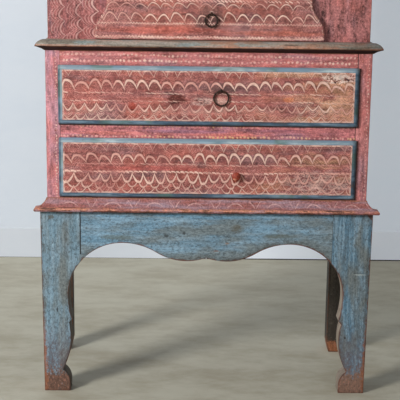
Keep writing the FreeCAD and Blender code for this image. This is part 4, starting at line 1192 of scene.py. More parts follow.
@dataclass(frozen=True)
class Iron(Finish):
    """Dark forged iron with traces of rust."""

    specular: float = 0.5
    relief: float = 0.5
    metal: float = 0.6             # under its dark scale it is half a metal to the eye
    scale: Colour = tone(36, 27, 22)
    rubbed: Colour = tone(62, 50, 43)
    rust: Colour = tone(98, 58, 38)

    def paint(self, graph: Graph) -> Coat:
        """Draws scale, hammer marks and rust.

        Args:
            graph: Where the nodes go.

        Returns:
            The iron's coat.
        """
        dents = graph.noise(6.0, 3.0, 0.6)
        rust = graph.noise(11.0, 4.0, 0.7).fall(0.66, 0.5)
        colour = graph.mix(self.scale, (self.rubbed, dents.fall(0.6, 0.4)), (self.rust, rust * 0.7))
        return Coat(colour, rust * 0.3 + 0.42, dents * 0.8)


IRON = Iron("iron")


def finished(name: str, mesh: bmesh.types.BMesh, finish: Finish) -> bpy.types.Object:
    """Turns a mesh under construction into an object of the scene.

    Args:
        name: The object's name.
        mesh: The mesh, which is used up.
        finish: Its finish.

    Returns:
        The object.
    """
    data = bpy.data.meshes.new(name)
    mesh.to_mesh(data)
    mesh.free()
    data.materials.append(finish.material())
    made = bpy.data.objects.new(name, data)
    bpy.context.scene.collection.objects.link(made)
    return made


class EdgeChoice(Enum):
    """Which sharp edges of a board are rounded and worn."""

    ALL = "every edge"
    LENGTH = "edges that run along x"
    OUTSIDE = "edges on the object's outside"
    SAWN = "every edge but upright ones"


@dataclass(frozen=True)
class Clear:
    """A zone, the same on both sides of the object, whose edges stay sharp, in millimetres."""

    inner: float
    outer: float
    low: float
    high: float

    def holds(self, point: Vector) -> bool:
        """Whether a point lies in the zone."""
        return self.inner < abs(point.x) / MM < self.outer and self.low < point.z / MM < self.high


class Shape:
    """A mesh under construction that ends as one named piece."""

    SHARP = math.radians(35.0)     # least angle of an edge that wears
    CREASE = math.radians(24.0)    # least angle that shows as an edge
    FLAT = math.radians(0.3)       # faces that meet at less than this become one
    SAMPLE_STEP = 4.0 * MM         # between the remembered places of a worn edge
    OUTER_DEPTH = 1.5 * MM         # of what counts as a board's outer side
    LENGTHWISE = 0.9               # least part of an edge's way that goes along x
    UPRIGHT = 0.98                 # least part of an edge's way that goes along z
    CUT_DISTANCE = 1e-6

    def __init__(self) -> None:
        """Starts empty."""
        self.mesh = bmesh.new()
        self.samples: list[Vector] = []

    @classmethod
    def from_node(cls, node: str) -> "Shape":
        """Copies a CAD node's mesh, with doubles merged and flat faces joined.

        Args:
            node: Name of the node.

        Returns:
            The shape.
        """
        made = cls()
        made.mesh.from_mesh(frame["nodes"][node].data)
        bmesh.ops.remove_doubles(made.mesh, verts=made.mesh.verts, dist=MERGE_DISTANCE)
        bmesh.ops.dissolve_limit(made.mesh, angle_limit=cls.FLAT, verts=made.mesh.verts,
                                 edges=made.mesh.edges)
        return made

    def sharp_edges(self, choice: EdgeChoice, clear: tuple[Clear, ...]) -> list[bmesh.types.BMEdge]:
        """The edges that wear.

        Args:
            choice: Which of the sharp edges count.
            clear: Zones whose edges stay sharp.

        Returns:
            The chosen edges.
        """
        found = []
        outer = max(abs(vert.co.x) for vert in self.mesh.verts)
        for edge in self.mesh.edges:
            if len(edge.link_faces) != 2 or edge.calc_face_angle(0.0) < self.SHARP:
                continue
            start, end = (vert.co for vert in edge.verts)
            along = (end - start).normalized()
            wears = {EdgeChoice.ALL: True, EdgeChoice.LENGTH: abs(along.x) >= self.LENGTHWISE,
                     EdgeChoice.OUTSIDE: min(abs(start.x), abs(end.x)) > outer - self.OUTER_DEPTH,
                     EdgeChoice.SAWN: abs(along.z) <= self.UPRIGHT}[choice]
            if wears and not any(zone.holds((start + end) / 2) for zone in clear):
                found.append(edge)
        return found

    def ease(self, radius: float, choice: EdgeChoice, clear: tuple[Clear, ...] = ()) -> None:
        """Rounds worn edges and remembers where they were.

        Args:
            radius: Rounding in millimetres.
            choice: Which sharp edges are rounded.
            clear: Zones whose edges stay sharp.
        """
        edges = self.sharp_edges(choice, clear)
        for edge in edges:
            start, end = (vert.co.copy() for vert in edge.verts)
            steps = max(1, int((end - start).length / self.SAMPLE_STEP))
            self.samples += [start.lerp(end, index / steps) for index in range(steps + 1)]
        bmesh.ops.bevel(self.mesh, geom=edges, offset=radius * MM, offset_type="OFFSET", affect="EDGES",
                        segments=2, profile=0.5, material=-1, clamp_overlap=True)

    def divide(self, cell: float) -> None:
        """Cuts the faces on a grid, so that the wear has points to lie on.

        Args:
            cell: Width of the grid in millimetres.
        """
        for axis in range(3):
            low = min(vert.co[axis] for vert in self.mesh.verts)
            high = max(vert.co[axis] for vert in self.mesh.verts)
            count = int((high - low) / (cell * MM))
            normal = Vector((axis == 0, axis == 1, axis == 2))
            for index in range(1, count + 1):
                point = normal * (low + (high - low) * index / (count + 1))
                everything = self.mesh.verts[:] + self.mesh.edges[:] + self.mesh.faces[:]
                bmesh.ops.bisect_plane(self.mesh, geom=everything, dist=self.CUT_DISTANCE, plane_co=point,
                                       plane_no=normal)

    def mark_edges(self) -> None:
        """Writes how near each point is to a worn edge."""
        layer = self.mesh.verts.layers.float.new(EDGE_LAYER)
        if not self.samples:
            return
        tree = KDTree(len(self.samples))
        for index, sample in enumerate(self.samples):
            tree.insert(sample, index)
        tree.balance()
        for vert in self.mesh.verts:
            distance = tree.find(vert.co)[2] / MM
            vert[layer] = max(0.0, 1.0 - distance / EDGE_REACH)

    def spin(self, outline: list, middle: Vector, steps: int) -> None:
        """Spins an outline full circle about an axis that runs along y.

        Args:
            outline: The outline's points and edges.
            middle: A point on the axis.
            steps: Number of steps in the circle.
        """
        bmesh.ops.spin(self.mesh, geom=outline, cent=middle, axis=(0.0, 1.0, 0.0), angle=math.tau,
                       steps=steps, use_merge=True)
        bmesh.ops.remove_doubles(self.mesh, verts=self.mesh.verts, dist=MERGE_DISTANCE)
        bmesh.ops.recalc_face_normals(self.mesh, faces=self.mesh.faces)

    def piece(self, node: str, ending: str, finish: Finish, replaces: bool = True) -> bpy.types.Object:
        """Ends the shape as a piece of the object.

        Args:
            node: The CAD node whose body it shares.
            ending: What its name adds to the node's.
            finish: Its finish.
            replaces: Whether it stands in the node's place.

        Returns:
            The piece.
        """
        self.mesh.normal_update()
        for face in self.mesh.faces:
            face.smooth = True
        for edge in self.mesh.edges:
            edge.smooth = len(edge.link_faces) == 2 and edge.calc_face_angle(0.0) < self.CREASE
        made = finished(f"{node}_{ending}", self.mesh, finish)
        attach(made, frame["nodes"][node]["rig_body"])
        if replaces:
            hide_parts(node)
        return made


@dataclass
class Board:
    """One painted board: the node it stands for, its paint and how its edges have worn."""

    node: str
    finish: Finish
    edges: EdgeChoice = EdgeChoice.ALL
    radius: float = 1.2
    cell: float = 22.0
    clear: tuple[Clear, ...] = ()

    def build(self) -> bpy.types.Object:
        """Makes the eased copy that stands for the node.

        Returns:
            The board.
        """
        shape = Shape.from_node(self.node)
        shape.ease(self.radius, self.edges, self.clear)
        shape.divide(self.cell)
        shape.mark_edges()
        return shape.piece(self.node, "worn", self.finish)


def pair(node: str, *settings: object, **more: object) -> list[Board]:
    """The left and the right board of a pair that is painted alike."""
    return [Board(f"{node}_{side}", *settings, **more) for side in ("left", "right")]


@dataclass
class SubAssembly:
    """A part of the cabinet whose pieces are built and dressed together."""

    made: list[bpy.types.Object] = field(default_factory=list)

    def boards(self) -> list[Board]:
        """The boards that get worn copies."""
        return []

    def dress(self) -> dict[str, Finish]:
        """The finishes of CAD nodes that keep their mesh."""
        return {}

    def fittings(self) -> list[bpy.types.Object]:
        """Further pieces that are not boards."""
        return []

    def build(self) -> list[bpy.types.Object]:
        """Builds and dresses every piece.

        Returns:
            The new pieces and the dressed nodes.
        """
        self.made = [board.build() for board in self.boards()]
        self.made += self.fittings()
        for node, finish in self.dress().items():
            dressed = frame["nodes"][node]
            dressed.data.materials.clear()
            dressed.data.materials.append(finish.material())
            self.made.append(dressed)
        return self.made


SIDE_PEGS = Clear(490.0, 510.0, 475.0, 545.0)


@dataclass
class Stand(SubAssembly):
    """Sawn legs, scalloped aprons and the rail that joins them."""

    front: float = -205.5
    half: float = 500.0
    joint: float = 380.0
    joint_foot: float = 415.0
    joint_shut: float = 24.0       # of the left joint, which hasn't opened at its foot
    paint_depth: float = 2.2
    side_paint_depth: float = 14.0
    apron_strip: float = 554.0
    pegs: tuple[Clear, ...] = (Clear(376.0, 412.0, 415.5, 575.0), SIDE_PEGS)
    rear_pegs: tuple[Clear, ...] = (Clear(418.0, 480.0, 445.0, 575.0), SIDE_PEGS)

    def seams(self) -> tuple[Seam, Seam]:
        """The opened joints of the apron with the left and the right leg."""
        return (Seam(-self.joint, self.joint_foot + self.joint_shut, half=1.9, strength=1.0),
                Seam(self.joint, self.joint_foot, half=0.8, strength=0.6))

    def sawn(self, pale: Colour = tone(150, 138, 124), dark: Colour = tone(116, 100, 88),
             aged: Colour = tone(88, 76, 66)) -> dict[str, object]:
        """The reach of the wear, and the greyed bare wood of the faces behind the front."""
        return dict(reach=3.4, bare=Bare.BEHIND, limit=self.front + self.paint_depth,
                    within=self.half - self.side_paint_depth, bare_pale=pale, bare_dark=dark, bare_aged=aged)

    def left_leg(self) -> StandBlue:
        """The left leg's paint, rusty low on its outer edge, its bare inner faces dark as painted shade."""
        return StandBlue(
            "stand_blue_left_leg", wood=tone(110, 72, 56), wood_dark=tone(58, 44, 40), rusty_side=-489.0,
            spots=(Spot(-452.0, 262.0, 3.0, 9.0, tone(40, 36, 34)),
                   Spot(-468.0, 552.0, 12.0, 8.0, tone(84, 80, 70))),
            # painted shade: the bare inner faces, turned from the lamp, get dark tones
            seams=self.seams()[:1], **self.sawn(tone(92, 82, 70), tone(68, 58, 50), tone(50, 42, 38)))

    def right_leg(self) -> StandBlue:
        """The right leg's paint, with a pale scratch."""
        return StandBlue(
            "stand_blue_right_leg", wood=tone(108, 68, 54), wood_dark=tone(58, 42, 38), rusty_side=491.0,
            blue=tone(88, 120, 140), foot=tone(126, 98, 84),
            spots=(Spot(468.0, 382.0, 20.0, 2.0, tone(190, 200, 198), 0.6),
                   Spot(430.0, 180.0, 4.0, 4.0, tone(44, 40, 38))),
            seams=self.seams()[1:], **self.sawn())

    def apron(self) -> StandBlue:
        """The front apron's paint, with two knots and brown stains."""
        return StandBlue(
            "stand_blue_apron", grain=Grain.X, bright_above=self.apron_strip, sinking=0.14,
            blue=tone(108, 143, 165), light=tone(144, 170, 188), earth=tone(112, 116, 112),
            wood=tone(112, 68, 54), wood_dark=tone(64, 44, 38),
            spots=(Spot(-121.0, 498.0, 9.0, 6.0, tone(56, 58, 58)),
                   Spot(-68.0, 507.0, 6.0, 6.0, tone(54, 56, 58)),
                   Spot(92.0, 522.0, 22.0, 15.0, tone(92, 86, 70), 0.6),
                   Spot(220.0, 500.0, 60.0, 7.0, tone(86, 88, 74), 0.6),
                   Spot(62.0, 476.0, 8.0, 4.0, tone(150, 108, 72), 0.45),
                   Spot(30.0, 452.0, 10.0, 3.0, tone(140, 92, 72), 0.45),
                   Spot(-270.0, 492.0, 60.0, 9.0, tone(92, 100, 92), 0.6)),
            seams=self.seams(), **self.sawn())

    def boards(self) -> list[Board]:
        """Paints the front legs and aprons in streaked blue, and the rear nearly black as painted shade.

        Returns:
            The stand's boards.
        """
        # painted shade: the rear legs and rail, in shade under the cabinet, are painted nearly black; their
        # feet keep a worn red-brown
        dim = dict(blue=tone(68, 62, 55), light=tone(94, 86, 75), earth=tone(48, 42, 36),
                   mauve=tone(54, 46, 40), dark=tone(30, 26, 24), foot=tone(140, 88, 58), foot_high=70.0,
                   wood=tone(96, 64, 46), reach=3.0)
        side = StandBlue("stand_blue_side", grain=Grain.Y, wood=tone(112, 70, 54), reach=3.0)
        rail = StandBlue("stand_dark_rear_rail", grain=Grain.X, **dim)
        return [Board("stand_leg_front_left", self.left_leg(), clear=self.pegs),
                Board("stand_leg_front_right", self.right_leg(), clear=self.pegs),
                Board("stand_apron_front", self.apron(), EdgeChoice.SAWN, clear=self.pegs),
                *pair("stand_apron", side, EdgeChoice.SAWN),
                *pair("stand_leg_rear", StandBlue("stand_dark_rear_leg", **dim), clear=self.rear_pegs),
                Board("stand_rail_rear", rail, EdgeChoice.SAWN)]

    def dress(self) -> dict[str, Finish]:
        """Pegs in the stand's blue."""
        return {"stand_joint_pegs": self.left_leg()}


@dataclass
class Chest(SubAssembly):
    """The chest of drawers' case: frame, sides, mouldings and what lies inside."""

    front: float = -187.5
    half: float = 480.0
    clear: float = 438.0
    lip: float = 443.0
    drawers: tuple[tuple[float, float], ...] = ((614.0, 792.0), (833.0, 1007.0))
    top_dots: tuple[float, float] = (1037.0, 1020.0)
    middle_dots: tuple[float, float] = (829.0, 797.0)
    back_board: float = 188.0
    rail_paint_depth: float = 12.0
    stile_paint_depth: float = 30.0
    side_paint_depth: float = 12.0
    shadow: float = 3.0            # how far right and down the lips' shadow falls
    seam_foot: float = 787.0

    def frame_paint(self, title: str, depth: float, **changes: object) -> CombedRed:
        """The frame's pinkish red, dark beside the drawers' lips.

        Args:
            title: Name of the finish.
            depth: How far back from the front the paint goes.
            **changes: What differs from the frame's usual paint.

        Returns:
            The finish.
        """
        lips = tuple((self.shadow - self.lip, self.shadow + self.lip, low - self.shadow, high - self.shadow)
                     for low, high in self.drawers)
        usual = dict(ground=tone(184, 112, 111), warm=tone(188, 104, 98), cool=tone(158, 114, 124),
                     pale=tone(236, 176, 168), combing=0.15, hatching=0.1, grit=1.3, mottle=1.5, drift=3.0,
                     wood=tone(150, 92, 70), reach=2.0, lips=lips)
        return CombedRed(title, bare=Bare.BEHIND, limit=self.front + depth, **{**usual, **changes})

    def middle_rail(self, dotted: Callable[..., PaintRow]) -> CombedRed:
        """The middle rail's paint, with mauve and light red patches."""
        return self.frame_paint(
            "frame_red_middle_rail", self.rail_paint_depth, grain=Grain.X, ground=tone(178, 104, 106),
            cool=tone(150, 108, 126), cream=tone(244, 192, 140), mottle=2.4, grit=1.9,
            rows=(dotted(self.middle_dots[0], strength=0.4), dotted(self.middle_dots[1])),
            seams=(Seam(self.clear), Seam(-self.clear, half=0.8, strength=0.7)),
            spots=(Spot(-60.0, 813.0, 160.0, 6.0, tone(140, 98, 120), 0.6),
                   Spot(190.0, 818.0, 120.0, 5.0, tone(150, 92, 108), 0.6),
                   Spot(-300.0, 806.0, 100.0, 6.0, tone(208, 122, 112), 0.6),
                   Spot(60.0, 803.0, 140.0, 4.0, tone(206, 118, 106), 0.5)))

    def boards(self) -> list[Board]:
        """Paints the frame pinkish red with rows of dots, and the sides, base moulding and ledge.

        Returns:
            The chest's boards.
        """
        dotted = partial(DOTS, pitch=12.0, stroke=5.0)
        top = self.frame_paint(
            "frame_red_top_rail", self.rail_paint_depth, grain=Grain.X, seams=(Seam(self.clear, half=1.4),),
            rows=(dotted(self.top_dots[0], strength=0.75), dotted(self.top_dots[1])))
        bottom = self.frame_paint("frame_red_bottom_rail", self.rail_paint_depth, grain=Grain.X)
        left = self.frame_paint(
            "frame_red_left_stile", self.stile_paint_depth, upright=True, ground=tone(182, 127, 138),
            cool=tone(160, 127, 144), rows=(DOTS(-450.0, pitch=9.0, stroke=3.2),),
            seams=(Seam(-self.clear, self.seam_foot, half=0.8, strength=0.7),))
        right = self.frame_paint(
            "frame_red_right_stile", self.stile_paint_depth, upright=True, ground=tone(190, 120, 119),
            cool=tone(158, 120, 132), rows=(DOTS(472.0, pitch=11.0, stroke=3.0),),
            seams=(Seam(self.clear, self.seam_foot, half=1.4),))
        side = CombedRed(
            "frame_red_side", bare=Bare.WITHIN, limit=self.side_paint_depth - self.half, upright=True,
            combing=0.1, hatching=0.1, ground=tone(166, 98, 92), warm=tone(176, 92, 80),
            cool=tone(140, 106, 108))
        ledge = LedgeGreen("ledge_green", grain=Grain.X, reach=2.4, wood=tone(118, 80, 58),
                           shadow_below=1063.8, dark_from=290.0)
        return [Board("chest_rail_top", top, EdgeChoice.LENGTH),
                Board("chest_rail_middle", self.middle_rail(dotted), EdgeChoice.LENGTH),
                Board("chest_rail_bottom", bottom, EdgeChoice.LENGTH),
                Board("chest_stile_left", left, EdgeChoice.OUTSIDE),
                Board("chest_stile_right", right, EdgeChoice.OUTSIDE),
                *pair("chest_side", side, EdgeChoice.OUTSIDE, cell=40.0),
                Board("base_moulding", MouldingRed("moulding_red", grain=Grain.X, reach=3.0), radius=1.0),
                Board("waist_ledge", ledge),
                Board("chest_back_boards", back_pine("pine_chest_back", self.back_board), radius=1.5,
                      cell=60.0)]

    def dress(self) -> dict[str, Finish]:
        """Bare pine inside and behind, pegs in the frame's red."""
        return {"chest_bottom": Pine("pine_board", grain=Grain.X),
                "chest_drawer_runners": Pine("pine_runner", grain=Grain.Y),
                "frame_pegs": CombedRed("frame_red_pegs", ground=tone(170, 96, 92))}


@dataclass
class ChestDrawer(SubAssembly):
    """A lipped chest drawer with its painted front."""

    level: str = "upper"
    low: float = 833.0
    high: float = 1007.0
    half: float = 443.0
    face: float = -199.5
    paint_depth: float = 11.0
    rows: tuple[PaintRow, ...] = ()
    spots: tuple[Spot, ...] = ()

    def boards(self) -> list[Board]:
        """The painted front."""
        paint = CombedRed(
            f"drawer_paint_{self.level}", grain=Grain.X, bare=Bare.BEHIND, limit=self.face + self.paint_depth,
            rows=self.rows, spots=self.spots, border=(-self.half, self.half, self.low, self.high),
            sand_from=150.0, wood=tone(98, 96, 94), reach=1.0)
        return [Board(f"{self.level}_drawer_front", paint, radius=1.0)]

    def dress(self) -> dict[str, Finish]:
        """Bare pine for the drawer's box."""
        return {f"{self.level}_drawer_sides": Pine("pine_drawer_side", grain=Grain.Y, age=0.25),
                f"{self.level}_drawer_back": Pine("pine_drawer_back", grain=Grain.X, age=0.25),
                f"{self.level}_drawer_bottom": Pine("pine_drawer_bottom", grain=Grain.X, age=0.35)}


@dataclass
class ShapedDrawer(SubAssembly):
    """The drawer at the cupboard's foot, whose face bends in towards its top."""

    face: float = -183.5
    paint_depth: float = 15.0

    def boards(self) -> list[Board]:
        """The painted face."""
        paint = CombedRed(
            "drawer_paint_small", grain=Grain.X, bare=Bare.BEHIND, limit=self.face + self.paint_depth,
            outline=5.0, ground=tone(152, 90, 86), warm=tone(172, 92, 78), drift=3.0, warp=12.0,
            wood=tone(190, 140, 112), reach=1.2,
            rows=(ROPE(1196.0, rise=6.0, pitch=10.5),
                  ROPE(1130.0, rise=6.5, pitch=8.3, stroke=2.2, zigzag=0.8),
                  ROPE(1091.0, rise=6.0, pitch=9.5, stroke=4.2, zigzag=0.55),
                  ARCS(1174.0, rise=15.0, pitch=38.7, phase=11.0, stroke=2.2, strength=0.8),
                  ARCS(1137.0, rise=21.0, pitch=38.8, phase=42.0, stroke=2.6)),
            spots=(Spot(0.0, 1145.0, 52.0, 44.0, tone(88, 66, 62), 0.7),
                   Spot(-150.0, 1111.0, 230.0, 13.0, tone(194, 92, 76), 0.5),
                   Spot(190.0, 1104.0, 160.0, 10.0, tone(198, 104, 78), 0.45)))
        return [Board("small_drawer_face", paint, cell=7.0)]

    def dress(self) -> dict[str, Finish]:
        """Bare pine for the drawer's box."""
        return {"small_drawer_walls": Pine("pine_small_walls", grain=Grain.Y, age=0.25),
                "small_drawer_bottom": Pine("pine_drawer_bottom", grain=Grain.X, age=0.35)}


@dataclass
class Cupboard(SubAssembly):
    """The upper case: frame, sides, shelf, top and cornice."""

    front: float = -165.5
    half: float = 474.0
    waves: tuple[tuple[float, float], ...] = ((-322.0, 1120.0), (-370.0, 1100.0), (-420.0, 1128.0))
    back_board: float = 185.6
    paint_depth: float = 14.0
    side_paint_depth: float = 12.0

    def frame_paint(self, title: str, **changes: object) -> CombedRed:
        """The frame's combed red.

        Args:
            title: Name of the finish.
            **changes: What differs from the frame's usual paint.

        Returns:
            The finish.
        """
        usual = dict(ground=tone(160, 100, 98), warm=tone(174, 98, 90), cool=tone(140, 106, 114), combing=0.2,
                     hatching=0.1, pale=tone(206, 154, 146), cream=tone(222, 176, 160), reach=2.0,
                     wood=tone(150, 96, 72))
        return CombedRed(title, bare=Bare.BEHIND, limit=self.front + self.paint_depth, **{**usual, **changes})

    def boards(self) -> list[Board]:
        """Paints the frame in combed red, the sides in plain red and the cornice green.

        Returns:
            The cupboard's boards.
        """
        rows = tuple(ARCS(at, rise=-17.0, pitch=43.0, phase=phase, stroke=3.0, echoes=3.0, spacing=9.0,
                          echo=0.75, peak=0.5, strength=0.75) for at, phase in self.waves)
        left = self.frame_paint(
            "cupboard_red_left_stile", upright=True, rows=rows, drift=6.0, ground=tone(146, 82, 80),
            warm=tone(172, 86, 74), cool=tone(108, 88, 100), pale=tone(222, 172, 164),
            cream=tone(236, 194, 180), grit=2.6)
        right = self.frame_paint(
            "cupboard_red_right_stile", upright=True, drift=6.0, mottle=2.6, grit=2.6,
            spots=(Spot(385.0, 1110.0, 1.4, 24.0, tone(70, 44, 40)),
                   Spot(345.0, 1180.0, 30.0, 60.0, tone(120, 92, 84), 0.6),
                   Spot(362.0, 1096.0, 9.0, 12.0, tone(226, 168, 150), 0.6)))
        rail = self.frame_paint("cupboard_red_rail", grain=Grain.X)
        side = CombedRed(
            "cupboard_red_side", bare=Bare.WITHIN, limit=self.side_paint_depth - self.half, upright=True,
            combing=0.2, ground=tone(160, 96, 90), warm=tone(170, 90, 78), cool=tone(138, 106, 108))
        green = LedgeGreen("cornice_green", grain=Grain.X, reach=6.0, wood=tone(158, 100, 68))
        return [Board("cupboard_stile_left", left, EdgeChoice.OUTSIDE),
                Board("cupboard_stile_right", right, EdgeChoice.OUTSIDE),
                Board("cupboard_rail_middle", rail, EdgeChoice.LENGTH),
                Board("cupboard_rail_top", rail, EdgeChoice.LENGTH),
                *pair("cupboard_side", side, EdgeChoice.OUTSIDE, cell=40.0),
                Board("cornice", green, radius=1.0),
                Board("cupboard_back_boards", back_pine("pine_cupboard_back", self.back_board), radius=1.5,
                      cell=60.0)]

    def dress(self) -> dict[str, Finish]:
        """Bare pine inside, above and behind."""
        across = Pine("pine_shelf", grain=Grain.X)
        return {"cupboard_floor": across, "cupboard_bottom": across, "cupboard_shelf": across,
                "cupboard_top": Pine("pine_top", grain=Grain.X, age=0.5, pale=tone(170, 134, 96)),
                "cupboard_shelf_cleats": Pine("pine_cleat", grain=Grain.Y),
                "small_drawer_guides": Pine("pine_runner", grain=Grain.Y)}


@dataclass
class Door(SubAssembly):
    """The framed and panelled cupboard door."""

    half: float = 298.0
    low: float = 1232.0
    high: float = 1804.0
    face: float = -177.5
    paint_depth: float = 10.0
    stile_ropes: tuple[float, float] = (-226.0, 226.0)
    stile_dots: tuple[float, float] = (-256.0, 256.0)
    rail_ropes: tuple[float, float] = (1314.0, 1732.0)
    rail_dots: tuple[float, float] = (1276.0, 1768.0)
    arc_rows: int = 9
    arc_foot: float = 1340.0
    arc_step: float = 41.0
    arc_pitch: float = 37.5

    def edged(self, title: str, ropes: tuple[float, ...], dots: tuple[float, ...],
              **more: object) -> CombedRed:
        """The paint of the door's frame: a blue edge, ropes beside the panel and dots between them.

        Args:
            title: Name of the finish.
            ropes: Places of the ropes.
            dots: Places of the rows of dots.
            **more: Further settings.

        Returns:
            The finish.
        """
        rows = (*(ROPE(at, rise=6.0, pitch=10.5) for at in ropes),
                *(DOTS(at, pitch=13.4, stroke=4.2) for at in dots))
        edge = (-self.half, self.half, self.low, self.high)
        return CombedRed(title, border=edge, drift=4.0, rows=rows, **more)

    def boards(self) -> list[Board]:
        """Paints the frame with a blue edge, and the panel with rows of scallops.

        Returns:
            The door's boards.
        """
        red = dict(ground=tone(166, 98, 92), warm=tone(184, 98, 82), cool=tone(146, 110, 114),
                   bare=Bare.BEHIND, limit=self.face + self.paint_depth, reach=2.5, wood=tone(128, 94, 76))
        stile = self.edged("door_paint_stile", self.stile_ropes, self.stile_dots, upright=True, **red)
        rail = self.edged("door_paint_rail", self.rail_ropes, self.rail_dots, grain=Grain.X, **red)
        rows = tuple(ARCS(self.arc_foot + self.arc_step * row, rise=24.0, pitch=self.arc_pitch, stroke=3.2,
                          phase=self.arc_pitch / 2 * (row % 2)) for row in range(self.arc_rows))
        panel = CombedRed("door_paint_panel", rows=rows, drift=6.0, **red)
        return [Board("door_stiles", stile, EdgeChoice.OUTSIDE, radius=1.0),
                Board("door_rails", rail, EdgeChoice.LENGTH, radius=1.0),
                Board("door_panel", panel, radius=0.8)]


@dataclass(frozen=True)
class Ring:
    """A forged ring that hangs in an eye, in millimetres."""

    node: str
    radius: float
    wire: float
    sides: int = 12
    steps: int = 56

    def build(self) -> bpy.types.Object:
        """Spins a round wire about the middle of the node's box.

        Returns:
            The ring.
        """
        low, high = (Vector(corner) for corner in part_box(self.node))
        middle = (low + high) / 2
        shape = Shape()
        turn = Matrix.Rotation(math.pi / 2, 4, "Y")
        start = Matrix.Translation(middle + Vector((0.0, 0.0, self.radius * MM))) @ turn
        made = bmesh.ops.create_circle(shape.mesh, segments=self.sides, radius=self.wire * MM, matrix=start)
        edges = list(dict.fromkeys(edge for vert in made["verts"] for edge in vert.link_edges))
        shape.spin(made["verts"] + edges, middle, self.steps)
        return shape.piece(self.node, "forged", IRON)


@dataclass(frozen=True)
class Knob:
    """A turned wooden knob whose shank goes through its drawer's front, in millimetres."""

    node: str
    x: float
    z: float
    face: float
    steps: int = 36
    turning: tuple[tuple[float, float], ...] = (
        (-23.5, 0.0), (-23.5, 4.5), (0.2, 4.5), (0.2, 6.2), (1.4, 6.0), (4.8, 5.5), (6.6, 7.4), (8.6, 11.2),
        (9.8, 12.7), (10.8, 13.0), (11.9, 12.7), (13.6, 11.5), (15.6, 9.3), (17.4, 6.2), (18.6, 2.8),
        (19.0, 0.0))

    def point(self, out: float, radius: float) -> Vector:
        """A point of the outline, in metres."""
        return Vector((self.x, self.face - out, self.z + radius)) * MM

    def build(self, finish: Finish) -> bpy.types.Object:
        """Turns the outline about the knob's axis.

        Args:
            finish: The knob's paint.

        Returns:
            The knob.
        """
        shape = Shape()
        verts = [shape.mesh.verts.new(self.point(*place)) for place in self.turning]
        edges = [shape.mesh.edges.new(ends) for ends in zip(verts, verts[1:])]
        shape.spin(verts + edges, self.point(0.0, 0.0), self.steps)
        return shape.piece(self.node, "turned", finish)


@dataclass(frozen=True)
class NailHeads:
    """The hammered heads of the nails that hold one kind of hinge leaf, in millimetres."""

    node: str
    columns: tuple[float, ...]
    face: float
    feet: tuple[float, ...] = (1300.0, 1676.0)
    rises: tuple[float, ...] = (11.0, 30.0, 49.0)
    radius: float = 3.6
    taper: float = 0.55
    height: float = 1.5
    sunk: float = 0.1
    sides: int = 9

    def build(self) -> bpy.types.Object:
        """Sets one flattened head at every nail's place.

        Returns:
            The heads as one piece.
        """
        shape = Shape()
        turn = Matrix.Rotation(math.pi / 2, 4, "X")
        for x, foot, rise in product(self.columns, self.feet, self.rises):
            middle = Vector((x, self.face - self.height / 2 + self.sunk, foot + rise)) * MM
            bmesh.ops.create_cone(shape.mesh, cap_ends=True, segments=self.sides, radius1=self.radius * MM,
                                  radius2=self.radius * self.taper * MM, depth=self.height * MM,
                                  matrix=Matrix.Translation(middle) @ turn)
        return shape.piece(self.node, "nails", IRON, replaces=False)


@dataclass
class Ironwork(SubAssembly):
    """Rings, their eyes, hinges with their nails, and the turned knob."""

    rings: tuple[Ring, ...] = (Ring("upper_drawer_ring", 21.6, 2.4), Ring("small_drawer_ring", 18.0, 2.2),
                               Ring("door_ring", 18.0, 2.2))
    nails: tuple[NailHeads, ...] = (NailHeads("door_hinge_case_leaves", (-335.0, -318.0), -167.5),
                                    NailHeads("door_hinge_door_leaves", (-289.0, -272.0), -179.5))
    knob: Knob = Knob("lower_drawer_knob", 86.0, 683.0, -199.5)

    def fittings(self) -> list[bpy.types.Object]:
        """The rings, the nails and the knob."""
        red = CombedRed(
            "knob_red", ground=tone(134, 56, 42), warm=tone(146, 60, 42), cool=tone(108, 54, 44), combing=0.0,
            hatching=0.0, spots=(Spot(80.0, 674.0, 8.0, 5.0, tone(214, 150, 124), 0.7),))
        return [*(iron.build() for iron in (*self.rings, *self.nails)), self.knob.build(red)]

    def dress(self) -> dict[str, Finish]:
        """Iron on eyes and hinges."""
        eyes = [f"{ring.node}_eye" for ring in self.rings]
        return {node: IRON for node in (*eyes, *(nails.node for nails in self.nails))}


